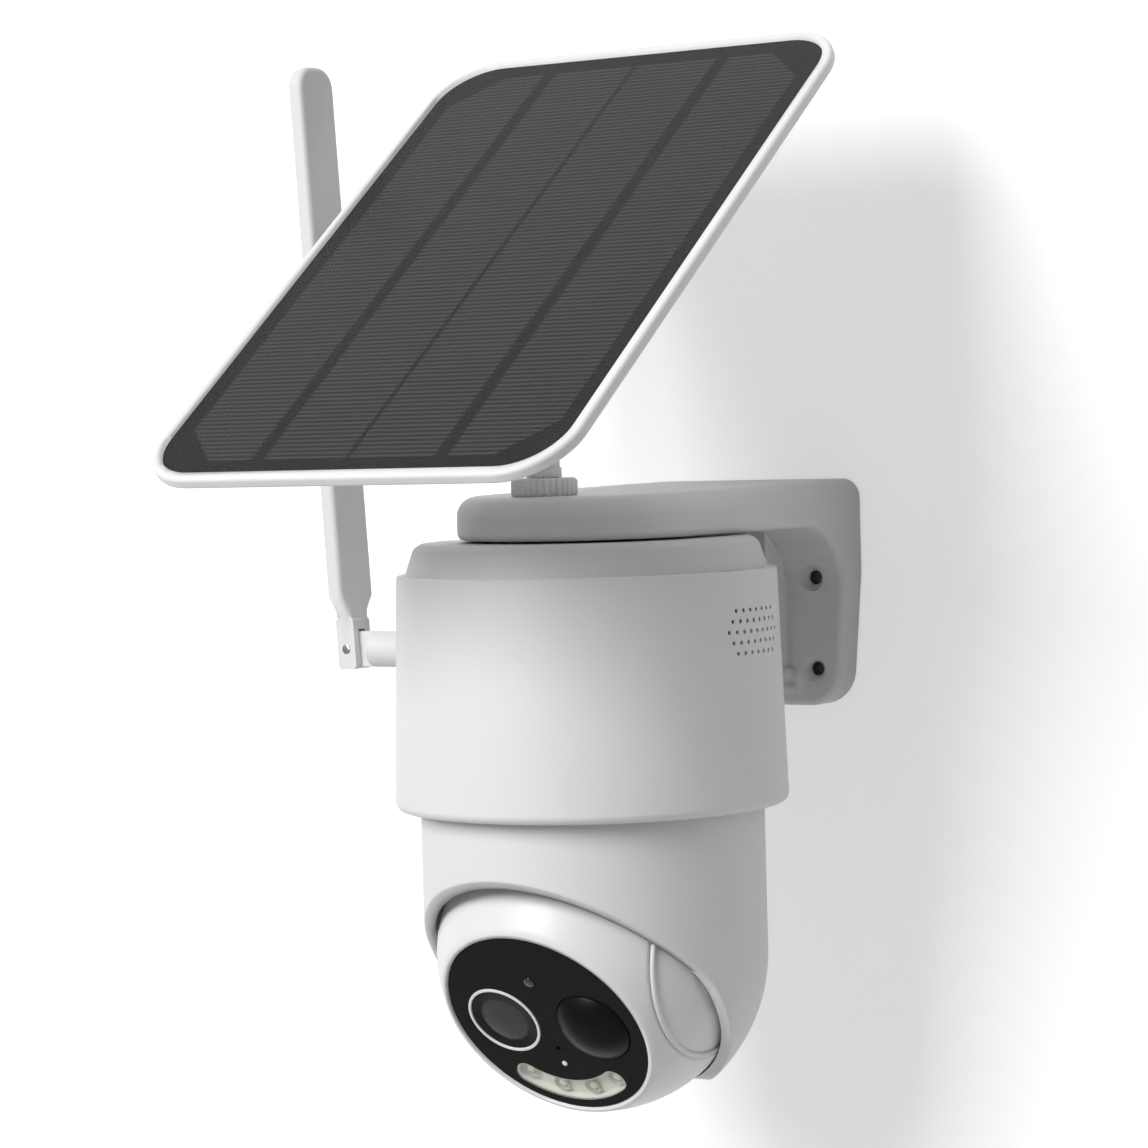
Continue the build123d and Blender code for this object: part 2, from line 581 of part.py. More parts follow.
def make_body():
    PARTS["wall_bracket"] = make_bracket()
    PARTS["top_cap"] = make_cap()
    PARTS["cap_seal"] = make_seal()
    PARTS["sleeve"] = make_sleeve()
    roof = CAP_H - CAP_WALL
    tall = ARM_HIGH - ARM_SKIN - roof - 1.0
    driven = Pos(0, 0, roof) * Rot(180, 0, 0) * screw(tall)
    PARTS["body_screws"] = group([BODY * spot * driven for spot in PolarLocations(BODY_SCREW_PCR, 3, 90)])
    PARTS["threaded_insert"] = BODY * Pos(0, POST_Y, 0) * tube(
        INSERT_R, STUD_R + FIT, ARM_HIGH - INSERT_L, ARM_HIGH)
    tray = slab(2 * TRAY_HW, 2 * TRAY_HL, TRAY_LOW, CELL_LOW + 2.2 * CELL_R)
    pit = slab(2 * (TRAY_HW - TRAY_WALL), 2 * (TRAY_HL - TRAY_WALL), CELL_LOW, CELL_LOW + 10 * CELL_R)
    side_window = Pos(0, 0, CELL_LOW + 1.3 * CELL_R) * Box(4 * TRAY_HW, CELL_L * 0.7, 1.2 * CELL_R)
    PARTS["battery_tray"] = BODY * (tray - pit - side_window)
    cells = []
    for x in (-1, 1):
        for level in (0, 1):
            z = CELL_LOW + CELL_R + level * (2 * CELL_R + CELL_GAP / 3)
            can = rod(CELL_R, -CELL_L / 2, CELL_L / 2 - CELL_TIP_H)
            can = can + rod(CELL_TIP_R, 0, CELL_L / 2)
            cells.append(BODY * Pos(x * (CELL_R + CELL_GAP / 4), 0, z) * along_y(can))
    PARTS["battery_cells"] = group(cells)
    board = Box(BOARD_W, BOARD_T, BOARD_H, align=(Align.CENTER, Align.MAX, Align.MIN))
    chip = Pos(-BOARD_W / 6, -BOARD_T, BOARD_H / 2) * Box(CHIP_W, CHIP_H, CHIP_W, align=BEHIND)
    PARTS["main_board"] = BODY * Pos(0, -TRAY_HL, TRAY_LOW) * (board + chip)
    back = Box(BOARD_W, BOARD_T, BOARD_H, align=(Align.CENTER, Align.MIN, Align.MIN))
    port_y = FLAT_Y - FLAP_PLUG - SLIP / 2 - TRAY_HL
    port = Pos(0, 0, PORT_Z - TRAY_LOW) * Box(PORT_W, port_y, PORT_H, align=AHEAD)
    mouth = Pos(0, port_y, PORT_Z - TRAY_LOW) * Box(
        PORT_W - 2 * PORT_WALL, 2 * (port_y - BOARD_T - PORT_WALL), PORT_H - 2 * PORT_WALL)
    depth = button_end() - BUTTON_TRAVEL - FIT - TRAY_HL
    switch = Pos(0, 0, BUTTON_Z - TRAY_LOW) * Box(SWITCH_W, depth, SWITCH_W, align=AHEAD)
    PARTS["port_board"] = BODY * Pos(0, TRAY_HL, TRAY_LOW) * (back + port - mouth + switch)
    cone_d = -SPEAKER_T / 2
    cone = turned([(0, 0), (SPEAKER_R - SPEAKER_RIM, 0), (MAGNET_R / 2, cone_d), (0, cone_d)])
    speaker = rod(SPEAKER_R, -SPEAKER_T, 0) + rod(MAGNET_R, -SPEAKER_T - MAGNET_T, 0) - cone
    PARTS["speaker"] = BODY * Rot(0, 0, GRILLE_TURN) * Pos(SPEAKER_X, 0, GRILLE_Z) * along_x(speaker)
    button = rod(BUTTON_R, button_end(), FLAT_Y + BUTTON_PROUD)
    button = button + rod(BUTTON_FLANGE_R, button_end(), button_end() + BUTTON_FLANGE)
    PARTS["power_button"] = BODY * Pos(0, 0, BUTTON_Z) * along_y(button)
    flap = Box(FLAP_W, FLAP_T, FLAP_H, align=AHEAD)
    flap = fillet(flap.edges().filter_by(Axis.Y), FLAP_CORNER_R)
    plug = Box(PORT_W - SLIP, FLAP_PLUG, PORT_H - SLIP, align=BEHIND)
    PARTS["port_cover"] = BODY * Pos(0, FLAT_Y + FIT, PORT_Z) * (flap + plug)


def button_end():
    """Inner end of the button, its flange just inside the sleeve's bore."""
    return bore_r(BUTTON_Z) - AIR - BUTTON_FLANGE


def make_pan_drive():
    PARTS["pan_gear"] = BODY * make_pan_gear()
    pinion = Pos(-PAN_CENTRES, 0, GEAR_LOW) * extrude(involute_face(PAN_MODULE, PAN_PINION_N), GEAR_T)
    shaft = Pos(-PAN_CENTRES, 0, 0) * rod(SHAFT_R, GEAR_LOW, MOTOR_LOW + PAN_MOTOR_H / 2)
    PARTS["pan_pinion"] = BODY * (pinion + shaft)
    plate = slab(2 * MOTOR_EAR_R, 2 * MOTOR_EAR, MOTOR_LOW, MOTOR_LOW + MOTOR_PLATE)
    for y in (-MOTOR_EAR, MOTOR_EAR):
        plate = plate + Pos(0, y, 0) * rod(MOTOR_EAR_R, MOTOR_LOW, MOTOR_LOW + MOTOR_PLATE)
    can = rod(PAN_MOTOR_R, MOTOR_LOW, MOTOR_LOW + PAN_MOTOR_H)
    nose = rod(SHAFT_R + FIT, MOTOR_LOW - 1, MOTOR_LOW + PAN_MOTOR_H / 2 + 1)
    PARTS["pan_motor"] = BODY * Pos(-PAN_CENTRES, 0, 0) * (plate + can - nose)
    bush = tube(HUB_R + FIT + BUSH_WALL, HUB_R + FIT, FLOOR_LOW, FLOOR_TOP)
    bush = bush + tube(BUSH_FLANGE_R, HUB_R + FIT, SHELL_Z + 2 * FIT, FLOOR_LOW)
    PARTS["pan_bush"] = BODY * bush
    hub = tube(HUB_R, HUB_BORE_R, SHELL_Z, GEAR_LOW)
    shell_in = SHELL_Z - SHELL_WALL
    screws = []
    for spot in PolarLocations((HUB_R + HUB_BORE_R) / 2, 3, 30):
        hub = hub - spot * rod(SCREW_R * 0.75, SHELL_Z - 1, GEAR_LOW + 1)
        tip = GEAR_LOW + GEAR_T / 2 - shell_in
        pin = rod(SCREW_R * 0.75, -tip, 0) + rod(SCREW_R * 1.4, 0, SCREW_HEAD_H)
        screws.append(BODY * spot * Pos(0, 0, GEAR_LOW + GEAR_T / 2) * pin)
    PARTS["pan_hub"] = BODY * hub
    PARTS["hub_screws"] = group(screws)


def make_pan_gear():
    gear = Pos(0, 0, GEAR_LOW) * extrude(involute_face(PAN_MODULE, PAN_GEAR_N), GEAR_T)
    gear = gear - rod(HUB_BORE_R, GEAR_LOW - 1, GEAR_TOP + 1)
    for spot in PolarLocations((HUB_R + HUB_BORE_R) / 2, 3, 30):
        gear = gear - spot * rod(SCREW_R * 0.75, GEAR_LOW - 1, GEAR_TOP + 1)
        gear = gear - spot * rod(SCREW_R * 1.4, GEAR_LOW + GEAR_T / 2, GEAR_TOP + 1)
    for spot in PolarLocations((PAN_MODULE * PAN_GEAR_N / 2 + HUB_R) / 2, 6):
        gear = gear - spot * rod(3.0, GEAR_LOW - 1, GEAR_TOP + 1)
    return gear


def opening():
    """Side profile of the head's opening, swept across: sloping lip, steeper lower part, level rim."""
    slope = math.tan(math.radians(LIP_SLOPE))
    fall = math.tan(math.radians(LIP_FALL))
    far = 2 * SHELL_R
    knee_z = LIP_Z - slope * (SHELL_R + KNEE_Y)
    foot_y = KNEE_Y + (knee_z + RIM_DROP) / fall
    profile = make_face(Plane.YZ * Polyline(
        (-far, LIP_Z + slope * (far - SHELL_R)), (KNEE_Y, knee_z), (foot_y, -RIM_DROP), (far, -RIM_DROP),
        (far, -far), (-far, -far), close=True))
    for y, z, bend in ((KNEE_Y, knee_z, LIP_R), (foot_y, -RIM_DROP, RIM_BEND_R)):
        profile = fillet(profile.vertices().sort_by_distance((0, y, z))[0], bend)
    return extrude(profile, far, both=True)


def on_lip(edge, cut):
    """True for the opening's edges on the outside of the shell."""
    spots = [edge @ t for t in (0.1, 0.5, 0.9)]
    if any(abs(math.hypot(p.X, p.Y, min(p.Z, 0)) - SHELL_R) > 0.01 for p in spots):
        return False
    return all(cut.distance_to(p) < 0.01 for p in spots)


def make_head():
    inner = SHELL_R - SHELL_WALL
    roof = SHELL_TOP - SHELL_WALL
    outside = rod(SHELL_R, 0, SHELL_TOP)
    outside = fillet(outside.edges().filter_by(GeomType.CIRCLE).sort_by(Axis.Z)[-1], SHELL_EDGE_R)
    outside = outside + Sphere(SHELL_R)
    inside = rod(inner, 0, roof) + Sphere(inner)
    shell = outside - inside
    for side in (-1, 1):
        boss = along_x(rod(TILT_BOSS_R, POLE_X + AIR, SHELL_R - SHELL_WALL / 2))
        shell = shell + Rot(0, 0, 90 - 90 * side) * (boss & Sphere(SHELL_R - SHELL_WALL / 2))
    for side in (-1, 1):
        shell = shell - Rot(0, 0, 90 - 90 * side) * along_x(rod(TILT_PIN_R, 0, SHELL_R - TILT_BOSS_SKIN))
    cut = opening()
    shell = shell - cut
    shell = fillet([e for e in shell.edges() if on_lip(e, cut)], LIP_EDGE_R)
    shell = shell - rod(HUB_BORE_R, 0, SHELL_TOP + 1)
    for spot in PolarLocations((HUB_R + HUB_BORE_R) / 2, 3, 30):
        shell = shell - spot * rod(SCREW_R * 0.75, 0, SHELL_TOP + 1)
    PARTS["head_shell"] = HEAD * shell
    deep = SHELL_R - TILT_BOSS_SKIN
    PARTS["tilt_pin_left"] = HEAD * along_x(rod(TILT_PIN_R, -deep, -ZONE_HW + 2))
    PARTS["tilt_pin_right"] = HEAD * along_x(rod(TILT_PIN_R, TILT_GEAR_X - 0.8, deep))
    gear = extrude(involute_face(TILT_MODULE, TILT_GEAR_N), TILT_GEAR_T) - rod(TILT_PIN_R, -1, 10)
    PARTS["tilt_gear"] = FACE * Pos(TILT_GEAR_X, 0, 0) * along_x(gear)


def zone(radius):
    """Middle zone of the ball out to a radius, between the planes of the two seams."""
    return Sphere(radius) & Box(2 * ZONE_HW, 4 * radius, 4 * radius)


def side_cap():
    """Dished side of the ball about Z: spherical skin, flat pole, hub on the tilt pin, inner collar."""
    outer = BALL_R - CAP_STEP
    inner = outer - BALL_WALL
    roof = POLE_X - BALL_WALL
    hub = TILT_PIN_R + BALL_WALL
    foot = ZONE_HW - CAP_SPIGOT
    spigot = math.sqrt((BALL_R - BALL_WALL) ** 2 - ZONE_HW ** 2) - SLIP / 2

    def on(radius, height):
        return (math.sqrt(radius ** 2 - height ** 2), height)

    skin = ThreePointArc(on(outer, ZONE_HW), on(outer, (ZONE_HW + POLE_X) / 2), on(outer, POLE_X))
    lining = ThreePointArc(on(inner, roof), on(inner, (ZONE_HW + roof) / 2), on(inner, ZONE_HW))
    pin = TILT_PIN_R + FIT
    bore = Polyline(on(outer, POLE_X), (pin, POLE_X), (pin, ZONE_HW - 1), (hub, ZONE_HW - 1), (hub, roof),
                    on(inner, roof))
    lip = Polyline(on(inner, ZONE_HW), (spigot - CAP_SPIGOT, foot), (spigot, foot), (spigot, ZONE_HW),
                   on(outer, ZONE_HW))
    return revolve(Plane.XZ * make_face(skin + bore + lining + lip), Axis.Z)


def make_ball():
    inner = BALL_R - BALL_WALL
    skin = zone(BALL_R)
    skin = fillet(skin.edges().filter_by(GeomType.CIRCLE), ZONE_EDGE_R)
    hollow = Sphere(inner)
    ledge_top = FACE_D - FACE_T - SEAL_T
    shelf = (rod(BALL_R, ledge_top - LEDGE_T, FACE_D) & Sphere(BALL_R - BALL_WALL / 2)) - rod(
        FACE_R - LEDGE_W, 0, FACE_D)
    front_half = slab(4 * BALL_R, 4 * BALL_R, 0, 4 * BALL_R)
    front = (skin - hollow) & front_half
    front = front + (shelf & Box(2 * ZONE_HW - BALL_WALL, 4 * BALL_R, 4 * BALL_R))
    front = front - rod(FACE_R + SLIP / 2, ledge_top, BALL_R + 1)
    front = front - slab(4 * BALL_R, 4 * BALL_R, FACE_D + FACE_RIM, 4 * BALL_R)
    rear = (skin - hollow) - front_half
    saddle_top = -TILT_CENTRES - TILT_MOTOR_R
    saddle = Pos(motor_x(), 0, 0) * Box(
        TILT_MOTOR_L * 0.6, TILT_MOTOR_R, BALL_R + saddle_top, align=LOW)
    saddle = Pos(0, 0, -BALL_R) * saddle & Sphere(BALL_R - BALL_WALL / 2)
    rear = rear + saddle
    screws = []
    for angle in (BALL_POST_DEG, 180 - BALL_POST_DEG, 180 + BALL_POST_DEG, 360 - BALL_POST_DEG):
        spot = Rot(0, 0, angle) * Pos(inner - BALL_POST_IN, 0, 0)
        post = spot * rod(BALL_POST_R, -BALL_POST_H, BALL_POST_H) & Sphere(BALL_R - BALL_WALL / 2)
        front = front + (post & front_half)
        rear = rear + (post - front_half)
        hole = spot * rod(SCREW_R * 0.8, -BALL_POST_H - 1, BALL_POST_H * 0.7)
        front = front - hole
        rear = rear - hole
        screws.append(FACE * spot * Pos(0, 0, -BALL_POST_H) * Rot(180, 0, 0) * (
            rod(SCREW_R * 0.8, -BALL_POST_H * 1.6, 0) + rod(SCREW_R * 1.5, 0, SCREW_HEAD_H)))
    PARTS["ball_front"] = FACE * front
    PARTS["ball_rear"] = FACE * rear
    PARTS["ball_screws"] = group(screws)
    dish = along_x(side_cap())
    PARTS["side_cap_right"] = HEAD * dish
    PARTS["side_cap_left"] = HEAD * Rot(0, 0, 180) * dish
    pinion = extrude(involute_face(TILT_MODULE, TILT_PINION_N, 180 / TILT_PINION_N), TILT_GEAR_T)
    shaft = rod(SHAFT_R * 0.8, -TILT_MOTOR_L / 2, TILT_GEAR_T)
    place = FACE * Pos(TILT_GEAR_X, 0, -TILT_CENTRES)
    PARTS["tilt_pinion"] = place * along_x(pinion + shaft)
    motor = rod(TILT_MOTOR_R, -TILT_MOTOR_L, 0) - rod(SHAFT_R * 0.8 + FIT, -TILT_MOTOR_L / 2 - 1, 1)
    PARTS["tilt_motor"] = place * Pos(-2 * DRIVE_AIR, 0, 0) * along_x(motor)


def motor_x():
    return TILT_GEAR_X - 2 * DRIVE_AIR - TILT_MOTOR_L / 2


def led_arc(width, low, high):
    """Curved slot concentric with the face, with round ends."""
    band = tube(LED_ARC_R + width / 2, LED_ARC_R - width / 2, low, high)
    reach = 2 * LED_ARC_R
    half = math.radians(LED_ARC_HALF)
    wedge = make_face(Polyline((0, 0), (-reach * math.sin(half), -reach * math.cos(half)), (0, -2 * reach),
                               (reach * math.sin(half), -reach * math.cos(half)), close=True))
    arc = band & Pos(0, 0, low) * extrude(wedge, high - low)
    for side in (-1, 1):
        end = Pos(side * LED_ARC_R * math.sin(half), -LED_ARC_R * math.cos(half), 0)
        arc = arc + end * rod(width / 2, low, high)
    return arc


def make_face_parts():
    back = FACE_D - FACE_T
    seat = back - SEAL_T
    board_top = seat - LEDGE_T
    ring_in = LENS_RING_R - LENS_RING_W
    window = rod(FACE_R, back, FACE_D)
    window = window - Pos(LENS_X, 0, 0) * (rod(ring_in, 0, 50) + rod(LENS_RING_R, FACE_D - 0.7, 50))
    window = window - Pos(PIR_X, 0, 0) * rod(PIR_R, 0, 50) - led_arc(LED_ARC_W, 0, 50)
    window = window - Pos(0, EYE_Y, 0) * rod(EYE_R, 0, 50) - Pos(0, STATUS_Y, 0) * rod(STATUS_R, 0, 50)
    window = window - Pos(0, MIC_Y, 0) * rod(MIC_R, 0, 50)
    PARTS["face_window"] = FACE * window
    PARTS["window_seal"] = FACE * tube(FACE_R - SLIP, FACE_R - LEDGE_W + SLIP, seat, back)
    PARTS["lens_ring"] = FACE * Pos(LENS_X, 0, 0) * tube(LENS_RING_R, ring_in, FACE_D - 0.7, FACE_D + 0.25)
    glass = FACE_D - LENS_DEPTH
    rest = glass - LENS_GLASS_T
    thick = LENS_R + BARREL_WALL
    thin = LENS_R - BARREL_WALL
    barrel = turned([
        (LENS_R, rest), (LENS_R, glass), (ring_in - 2 * SLIP, FACE_D - FIT), (ring_in - FIT, FACE_D - FIT),
        (ring_in - FIT, back), (thick, back - BARREL_WALL), (thick, LENS_FOOT), (thin, LENS_FOOT), (thin, rest)])
    PARTS["lens_barrel"] = FACE * Pos(LENS_X, 0, 0) * barrel
    bulge = (LENS_R ** 2 + LENS_CROWN ** 2) / (2 * LENS_CROWN)
    pane = rod(LENS_R, rest, glass + 2 * LENS_CROWN) & Pos(0, 0, glass + LENS_CROWN - bulge) * Sphere(bulge)
    PARTS["lens_glass"] = FACE * Pos(LENS_X, 0, 0) * pane
    dome_r = (PIR_R ** 2 + PIR_RISE ** 2) / (2 * PIR_RISE)
    dome_z = FACE_D + PIR_RISE - dome_r
    cap = Pos(0, 0, dome_z) * Sphere(dome_r)
    dome = rod(PIR_R, back, FACE_D) + (rod(PIR_R, FACE_D, FACE_D + 2 * PIR_RISE) & cap)
    lining = Pos(0, 0, dome_z) * Sphere(dome_r - PIR_WALL)
    hole = rod(PIR_R - PIR_WALL, 0, FACE_D + 2 * PIR_RISE) & (lining + rod(PIR_R, 0, FACE_D - PIR_WALL))
    within = Pos(-PIR_X, 0, 0) * rod(FACE_R - LEDGE_W - SLIP / 2, 0, BALL_R)
    flange = rod(PIR_R + PIR_WALL, back - PIR_WALL, back) & within
    dome = dome + flange - hole
    PARTS["pir_dome"] = FACE * Pos(PIR_X, 0, 0) * dome
    PARTS["pir_sensor"] = FACE * Pos(PIR_X, 0, 0) * rod(PIR_CAN_R, board_top, board_top + PIR_CAN_H)
    PARTS["led_window"] = FACE * led_arc(LED_ARC_W, back, FACE_D + 0.1)
    leds = []
    for i in range(LED_N):
        turn = math.radians((i - (LED_N - 1) / 2) * 2 * LED_ARC_HALF / (LED_N - 1))
        spot = Pos(LED_ARC_R * math.sin(turn), -LED_ARC_R * math.cos(turn), 0)
        leds.append(FACE * spot * rod(LED_R, board_top, board_top + LED_H))
    PARTS["leds"] = group(leds)
    PARTS["light_sensor"] = FACE * Pos(0, EYE_Y, 0) * rod(EYE_R, board_top, FACE_D + 0.05)
    PARTS["status_led"] = FACE * Pos(0, STATUS_Y, 0) * rod(STATUS_R, board_top, FACE_D + 0.05)
    PARTS["microphone"] = FACE * Pos(0, MIC_Y, 0) * rod(MIC_CAN_R, board_top, board_top + 1.4)
    board = rod(FACE_R - LEDGE_W + 1.2, board_top - BOARD_T, board_top)
    board = board - Pos(LENS_X, 0, 0) * rod(LENS_R + BARREL_WALL + SLIP, 0, BALL_R)
    PARTS["face_board"] = FACE * board
    sensor = rod(SENSOR_BOARD_R, LENS_FOOT - BOARD_T, LENS_FOOT)
    chip = Pos(LENS_X / 2, 0, LENS_FOOT) * Box(7, 7, 1.2, align=LOW)
    PARTS["sensor_board"] = FACE * Pos(LENS_X / 2, 0, 0) * (sensor + chip)


def make_antenna():
    inside = -bore_r(STUB_Z) + SLEEVE_WALL / 5
    shank = rod(SHANK_R, -STUB_FACE, inside + 1.5 * NUT_T)
    base = along_x(rod(STUB_R, -STUB_L - STUB_FACE, -STUB_FACE) + shank)
    base = fillet(base.edges().filter_by(GeomType.CIRCLE).sort_by(Axis.X)[0], 1.0)
    pin_x = -STUB_FACE - STUB_L - PIN_OUT
    eye = Pos(pin_x, 0, 0) * along_y(rod(TONGUE_R, -TONGUE_T / 2, TONGUE_T / 2))
    web = Pos(pin_x + PIN_OUT / 2, 0, 0) * Box(PIN_OUT + 2, TONGUE_T, 2 * TONGUE_R)
    web = web & Pos(pin_x, 0, 0) * along_x(slab(4 * TONGUE_R, 4 * TONGUE_R, 0, 2 * PIN_OUT))
    base = base + eye + web - Pos(pin_x, 0, 0) * along_y(rod(ANT_PIN_R + FIT, -10, 10))
    at = BODY * Pos(0, 0, STUB_Z)
    PARTS["antenna_base"] = at * base
    nut = Pos(inside, 0, 0) * along_x(extrude(RegularPolygon(NUT_AF / 2, 6, major_radius=False), NUT_T))
    PARTS["antenna_nut"] = at * (nut - along_x(rod(SHANK_R, -60, 0)))
    half = PADDLE_W / 2
    neck = KNUCKLE_Y / 2
    outline = make_face(Plane.YZ * Polyline(
        (-neck, -KNUCKLE_FOOT), (neck, -KNUCKLE_FOOT), (neck, PADDLE_NECK), (half, PADDLE_SHOULDER),
        (half, PADDLE_L), (-half, PADDLE_L), (-half, PADDLE_SHOULDER), (-neck, PADDLE_NECK), close=True))
    tips = outline.vertices().sort_by(Axis.Z)[-2:]
    outline = fillet(tips, PADDLE_TIP_R)
    blade = extrude(outline, PADDLE_T / 2, both=True)
    blade = fillet([e for e in blade.edges() if e.center().Z > PADDLE_NECK + 0.5
                    and abs(abs(e.center().X) - PADDLE_T / 2) < 0.01], PADDLE_EDGE_R)
    block = Pos(0, 0, -KNUCKLE_FOOT) * Box(KNUCKLE_W, KNUCKLE_Y, KNUCKLE_FOOT + PADDLE_NECK, align=LOW)
    block = fillet(block.edges().filter_by(Axis.Y), 1.0)
    blade = blade + block
    slot = Pos(0, 0, -20) * Box(20, TONGUE_T + 2 * TONGUE_AIR, 20 + TONGUE_R + AIR, align=LOW)
    blade = blade - slot - along_y(rod(ANT_PIN_R, -10, 10))
    lean = at * Pos(pin_x, 0, 0) * Rot(0, -PADDLE_LEAN, 0)
    PARTS["antenna_paddle"] = lean * blade
    PARTS["antenna_pin"] = lean * along_y(rod(ANT_PIN_R, -neck, neck))


def make_panel():
    top = PANEL_D + BEZEL_PROUD
    low = top - FRAME_T
    under = PANEL_D - GLASS_T
    base = under - CELL_T
    outer_w = GLASS_W + 2 * BEZEL
    outer_h = GLASS_H + 2 * BEZEL
    frame = rounded_plate(outer_w, outer_h, GLASS_R + BEZEL, low, top)
    rims = [e for e in frame.edges() if abs(e.center().Z - low) < 0.01 or abs(e.center().Z - top) < 0.01]
    frame = fillet(rims, FRAME_EDGE_R)
    frame = frame - rounded_plate(GLASS_W + FIT, GLASS_H + FIT, GLASS_R, base - PANEL_BOARD_T, top + 1)
    frame = frame - rounded_plate(GLASS_W - 2 * FRAME_LAND, GLASS_H - 2 * FRAME_LAND, GLASS_R, low - 1, top)
    frame = PANEL * frame
    PARTS["panel_board"] = PANEL * rounded_plate(GLASS_W, GLASS_H, GLASS_R, base - PANEL_BOARD_T, base)
    PARTS["panel_glass"] = PANEL * rounded_plate(GLASS_W, GLASS_H, GLASS_R, under, PANEL_D)
    wide = GLASS_W - 2 * CELL_MARGIN
    field = slab(wide, GLASS_H - 2 * CELL_MARGIN, base, under)
    field = chamfer(field.edges().filter_by(Axis.Z), STRIP_CHAMFER)
    for x, gap in ((-wide / 4, STRIP_GAP_WIDE), (0, STRIP_GAP), (wide / 4, STRIP_GAP_WIDE)):
        field = field - Pos(x, 0, 0) * slab(gap, GLASS_H, base, under)
    PARTS["solar_cells"] = group([PANEL * strip for strip in field.solids()])
    cover_low = low - BACK_T
    cover = rounded_plate(BACK_W, BACK_H, BACK_R, cover_low, low)
    cover = fillet([e for e in cover.edges() if abs(e.center().Z - cover_low) < 0.01], 1.5)
    cover = cover - rounded_plate(BACK_W - 2 * BACK_WALL, BACK_H - 2 * BACK_WALL, BACK_R - BACK_WALL,
                                  cover_low + BACK_WALL, low + 1)
    screws = []
    shank = SCREW_R * 0.8
    head = SCREW_R * 1.5
    seat = cover_low + SCREW_HEAD_H
    for spot in GridLocations(GLASS_W - 2 * PANEL_SCREW_IN, GLASS_H / 2 - PANEL_SCREW_IN, 2, 3):
        cover = cover + spot * rod(2 * SCREW_R, cover_low + BACK_WALL / 2, low)
        cover = cover - spot * (rod(shank, cover_low - 1, low + 1) + rod(head + FIT, cover_low - 1, seat))
        frame = frame - PANEL * spot * rod(shank, low - 1, low + SCREW_BITE)
        pin = rod(shank, seat, low + SCREW_BITE) + rod(head, cover_low + FIT, seat)
        screws.append(PANEL * spot * pin)
    PARTS["panel_frame"] = frame
    PARTS["panel_screws"] = group(screws)
    for side in (-1, 1):
        root = Pos(0, cover_low + BACK_WALL / 2) * Rectangle(LUG_BASE, BACK_WALL)
        shape = make_hull(Circle(LUG_R).edges() + root.edges())
        lug = Plane.YZ * extrude(shape, LUG_T)
        inner = TONGUE_HW + SLIP
        x = inner if side > 0 else -inner - LUG_T
        cover = cover + Pos(x, 0, 0) * lug
    cover = cover - along_x(rod(BOLT_R, -GLASS_W, GLASS_W))
    PARTS["panel_back"] = PANEL * cover
    out = TONGUE_HW + SLIP + LUG_T
    bolt = rod(BOLT_R, -out, out + KNOB_T - 1) + Pos(0, 0, -out - BOLT_HEAD_T) * extrude(
        RegularPolygon(BOLT_HEAD_R, 6), BOLT_HEAD_T)
    PARTS["tilt_bolt"] = PIVOT * along_x(bolt)
    knob = knurled(KNOB_R, out + FIT, out + FIT + KNOB_T, KNURL_N // 2)
    knob = knob - rod(BOLT_R + FIT, 0, out + KNOB_T - 1 + FIT)
    PARTS["clamp_knob"] = PIVOT * along_x(knob)
    post_low = -PIVOT_H + NUT_H + 2 * FIT
    post = rod(POST_R, post_low, -LUG_R / 2) + rod(POST_FOOT_R, post_low, post_low + POST_FOOT_T)
    tongue = along_x(rod(LUG_R, -TONGUE_HW, TONGUE_HW))
    post = post + tongue + rod(STUD_R, -PIVOT_H - INSERT_L + 0.5, post_low)
    post = post - along_x(rod(BOLT_R + FIT, -GLASS_W, GLASS_W))
    PARTS["swivel_post"] = PIVOT * post
    nut = knurled(NUT_R, FIT, NUT_H, KNURL_N) - rod(STUD_R + FIT, -1, 20)
    PARTS["lock_nut"] = BODY * Pos(0, POST_Y, ARM_HIGH) * nut


make_body()
make_pan_drive()
make_head()
make_ball()
make_face_parts()
make_antenna()
make_panel()
os.makedirs("parts", exist_ok=True)
for name, shape in PARTS.items():
    export_step(shape, f"parts/{name}.step")
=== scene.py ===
"""Solar pan-and-tilt security camera: finishes, dressed pieces, studio and camera.

Everything is in metres, in the frame of the solid model: +Z up, the wall is the plane Y = 0, the object
stands out towards -Y, and the origin is the middle of the bracket's four screw holes.
"""
import json
import math

import bmesh
import bpy
from mathutils import Matrix, Vector


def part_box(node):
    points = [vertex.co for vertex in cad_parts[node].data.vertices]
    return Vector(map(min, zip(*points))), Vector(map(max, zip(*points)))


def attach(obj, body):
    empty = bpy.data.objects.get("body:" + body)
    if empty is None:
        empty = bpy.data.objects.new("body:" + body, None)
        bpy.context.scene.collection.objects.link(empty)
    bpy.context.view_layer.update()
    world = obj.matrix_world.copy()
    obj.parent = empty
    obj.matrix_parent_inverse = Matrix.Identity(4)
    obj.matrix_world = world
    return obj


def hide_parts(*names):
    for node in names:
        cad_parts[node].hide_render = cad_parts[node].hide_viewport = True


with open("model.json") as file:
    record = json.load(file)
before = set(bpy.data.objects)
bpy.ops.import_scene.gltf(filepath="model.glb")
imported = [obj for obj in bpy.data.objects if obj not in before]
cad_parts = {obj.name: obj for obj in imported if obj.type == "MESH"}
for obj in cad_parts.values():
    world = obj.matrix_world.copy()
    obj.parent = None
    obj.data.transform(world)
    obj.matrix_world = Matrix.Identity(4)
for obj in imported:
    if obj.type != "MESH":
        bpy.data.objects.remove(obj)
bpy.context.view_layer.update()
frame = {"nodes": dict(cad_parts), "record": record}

MM = 0.001
WELD = 2e-6             # points of a solid's mesh that lie closer than this are one point
HAIR = 1e-7             # play for rounding where places are compared
CREASE = math.radians(30)   # edges that bend more than this stay crisp
TILT_DOWN = 33.0        # tilt of the face below the horizontal, in degrees
PANEL_SLOPE = 37.9      # slope of the panel, in degrees

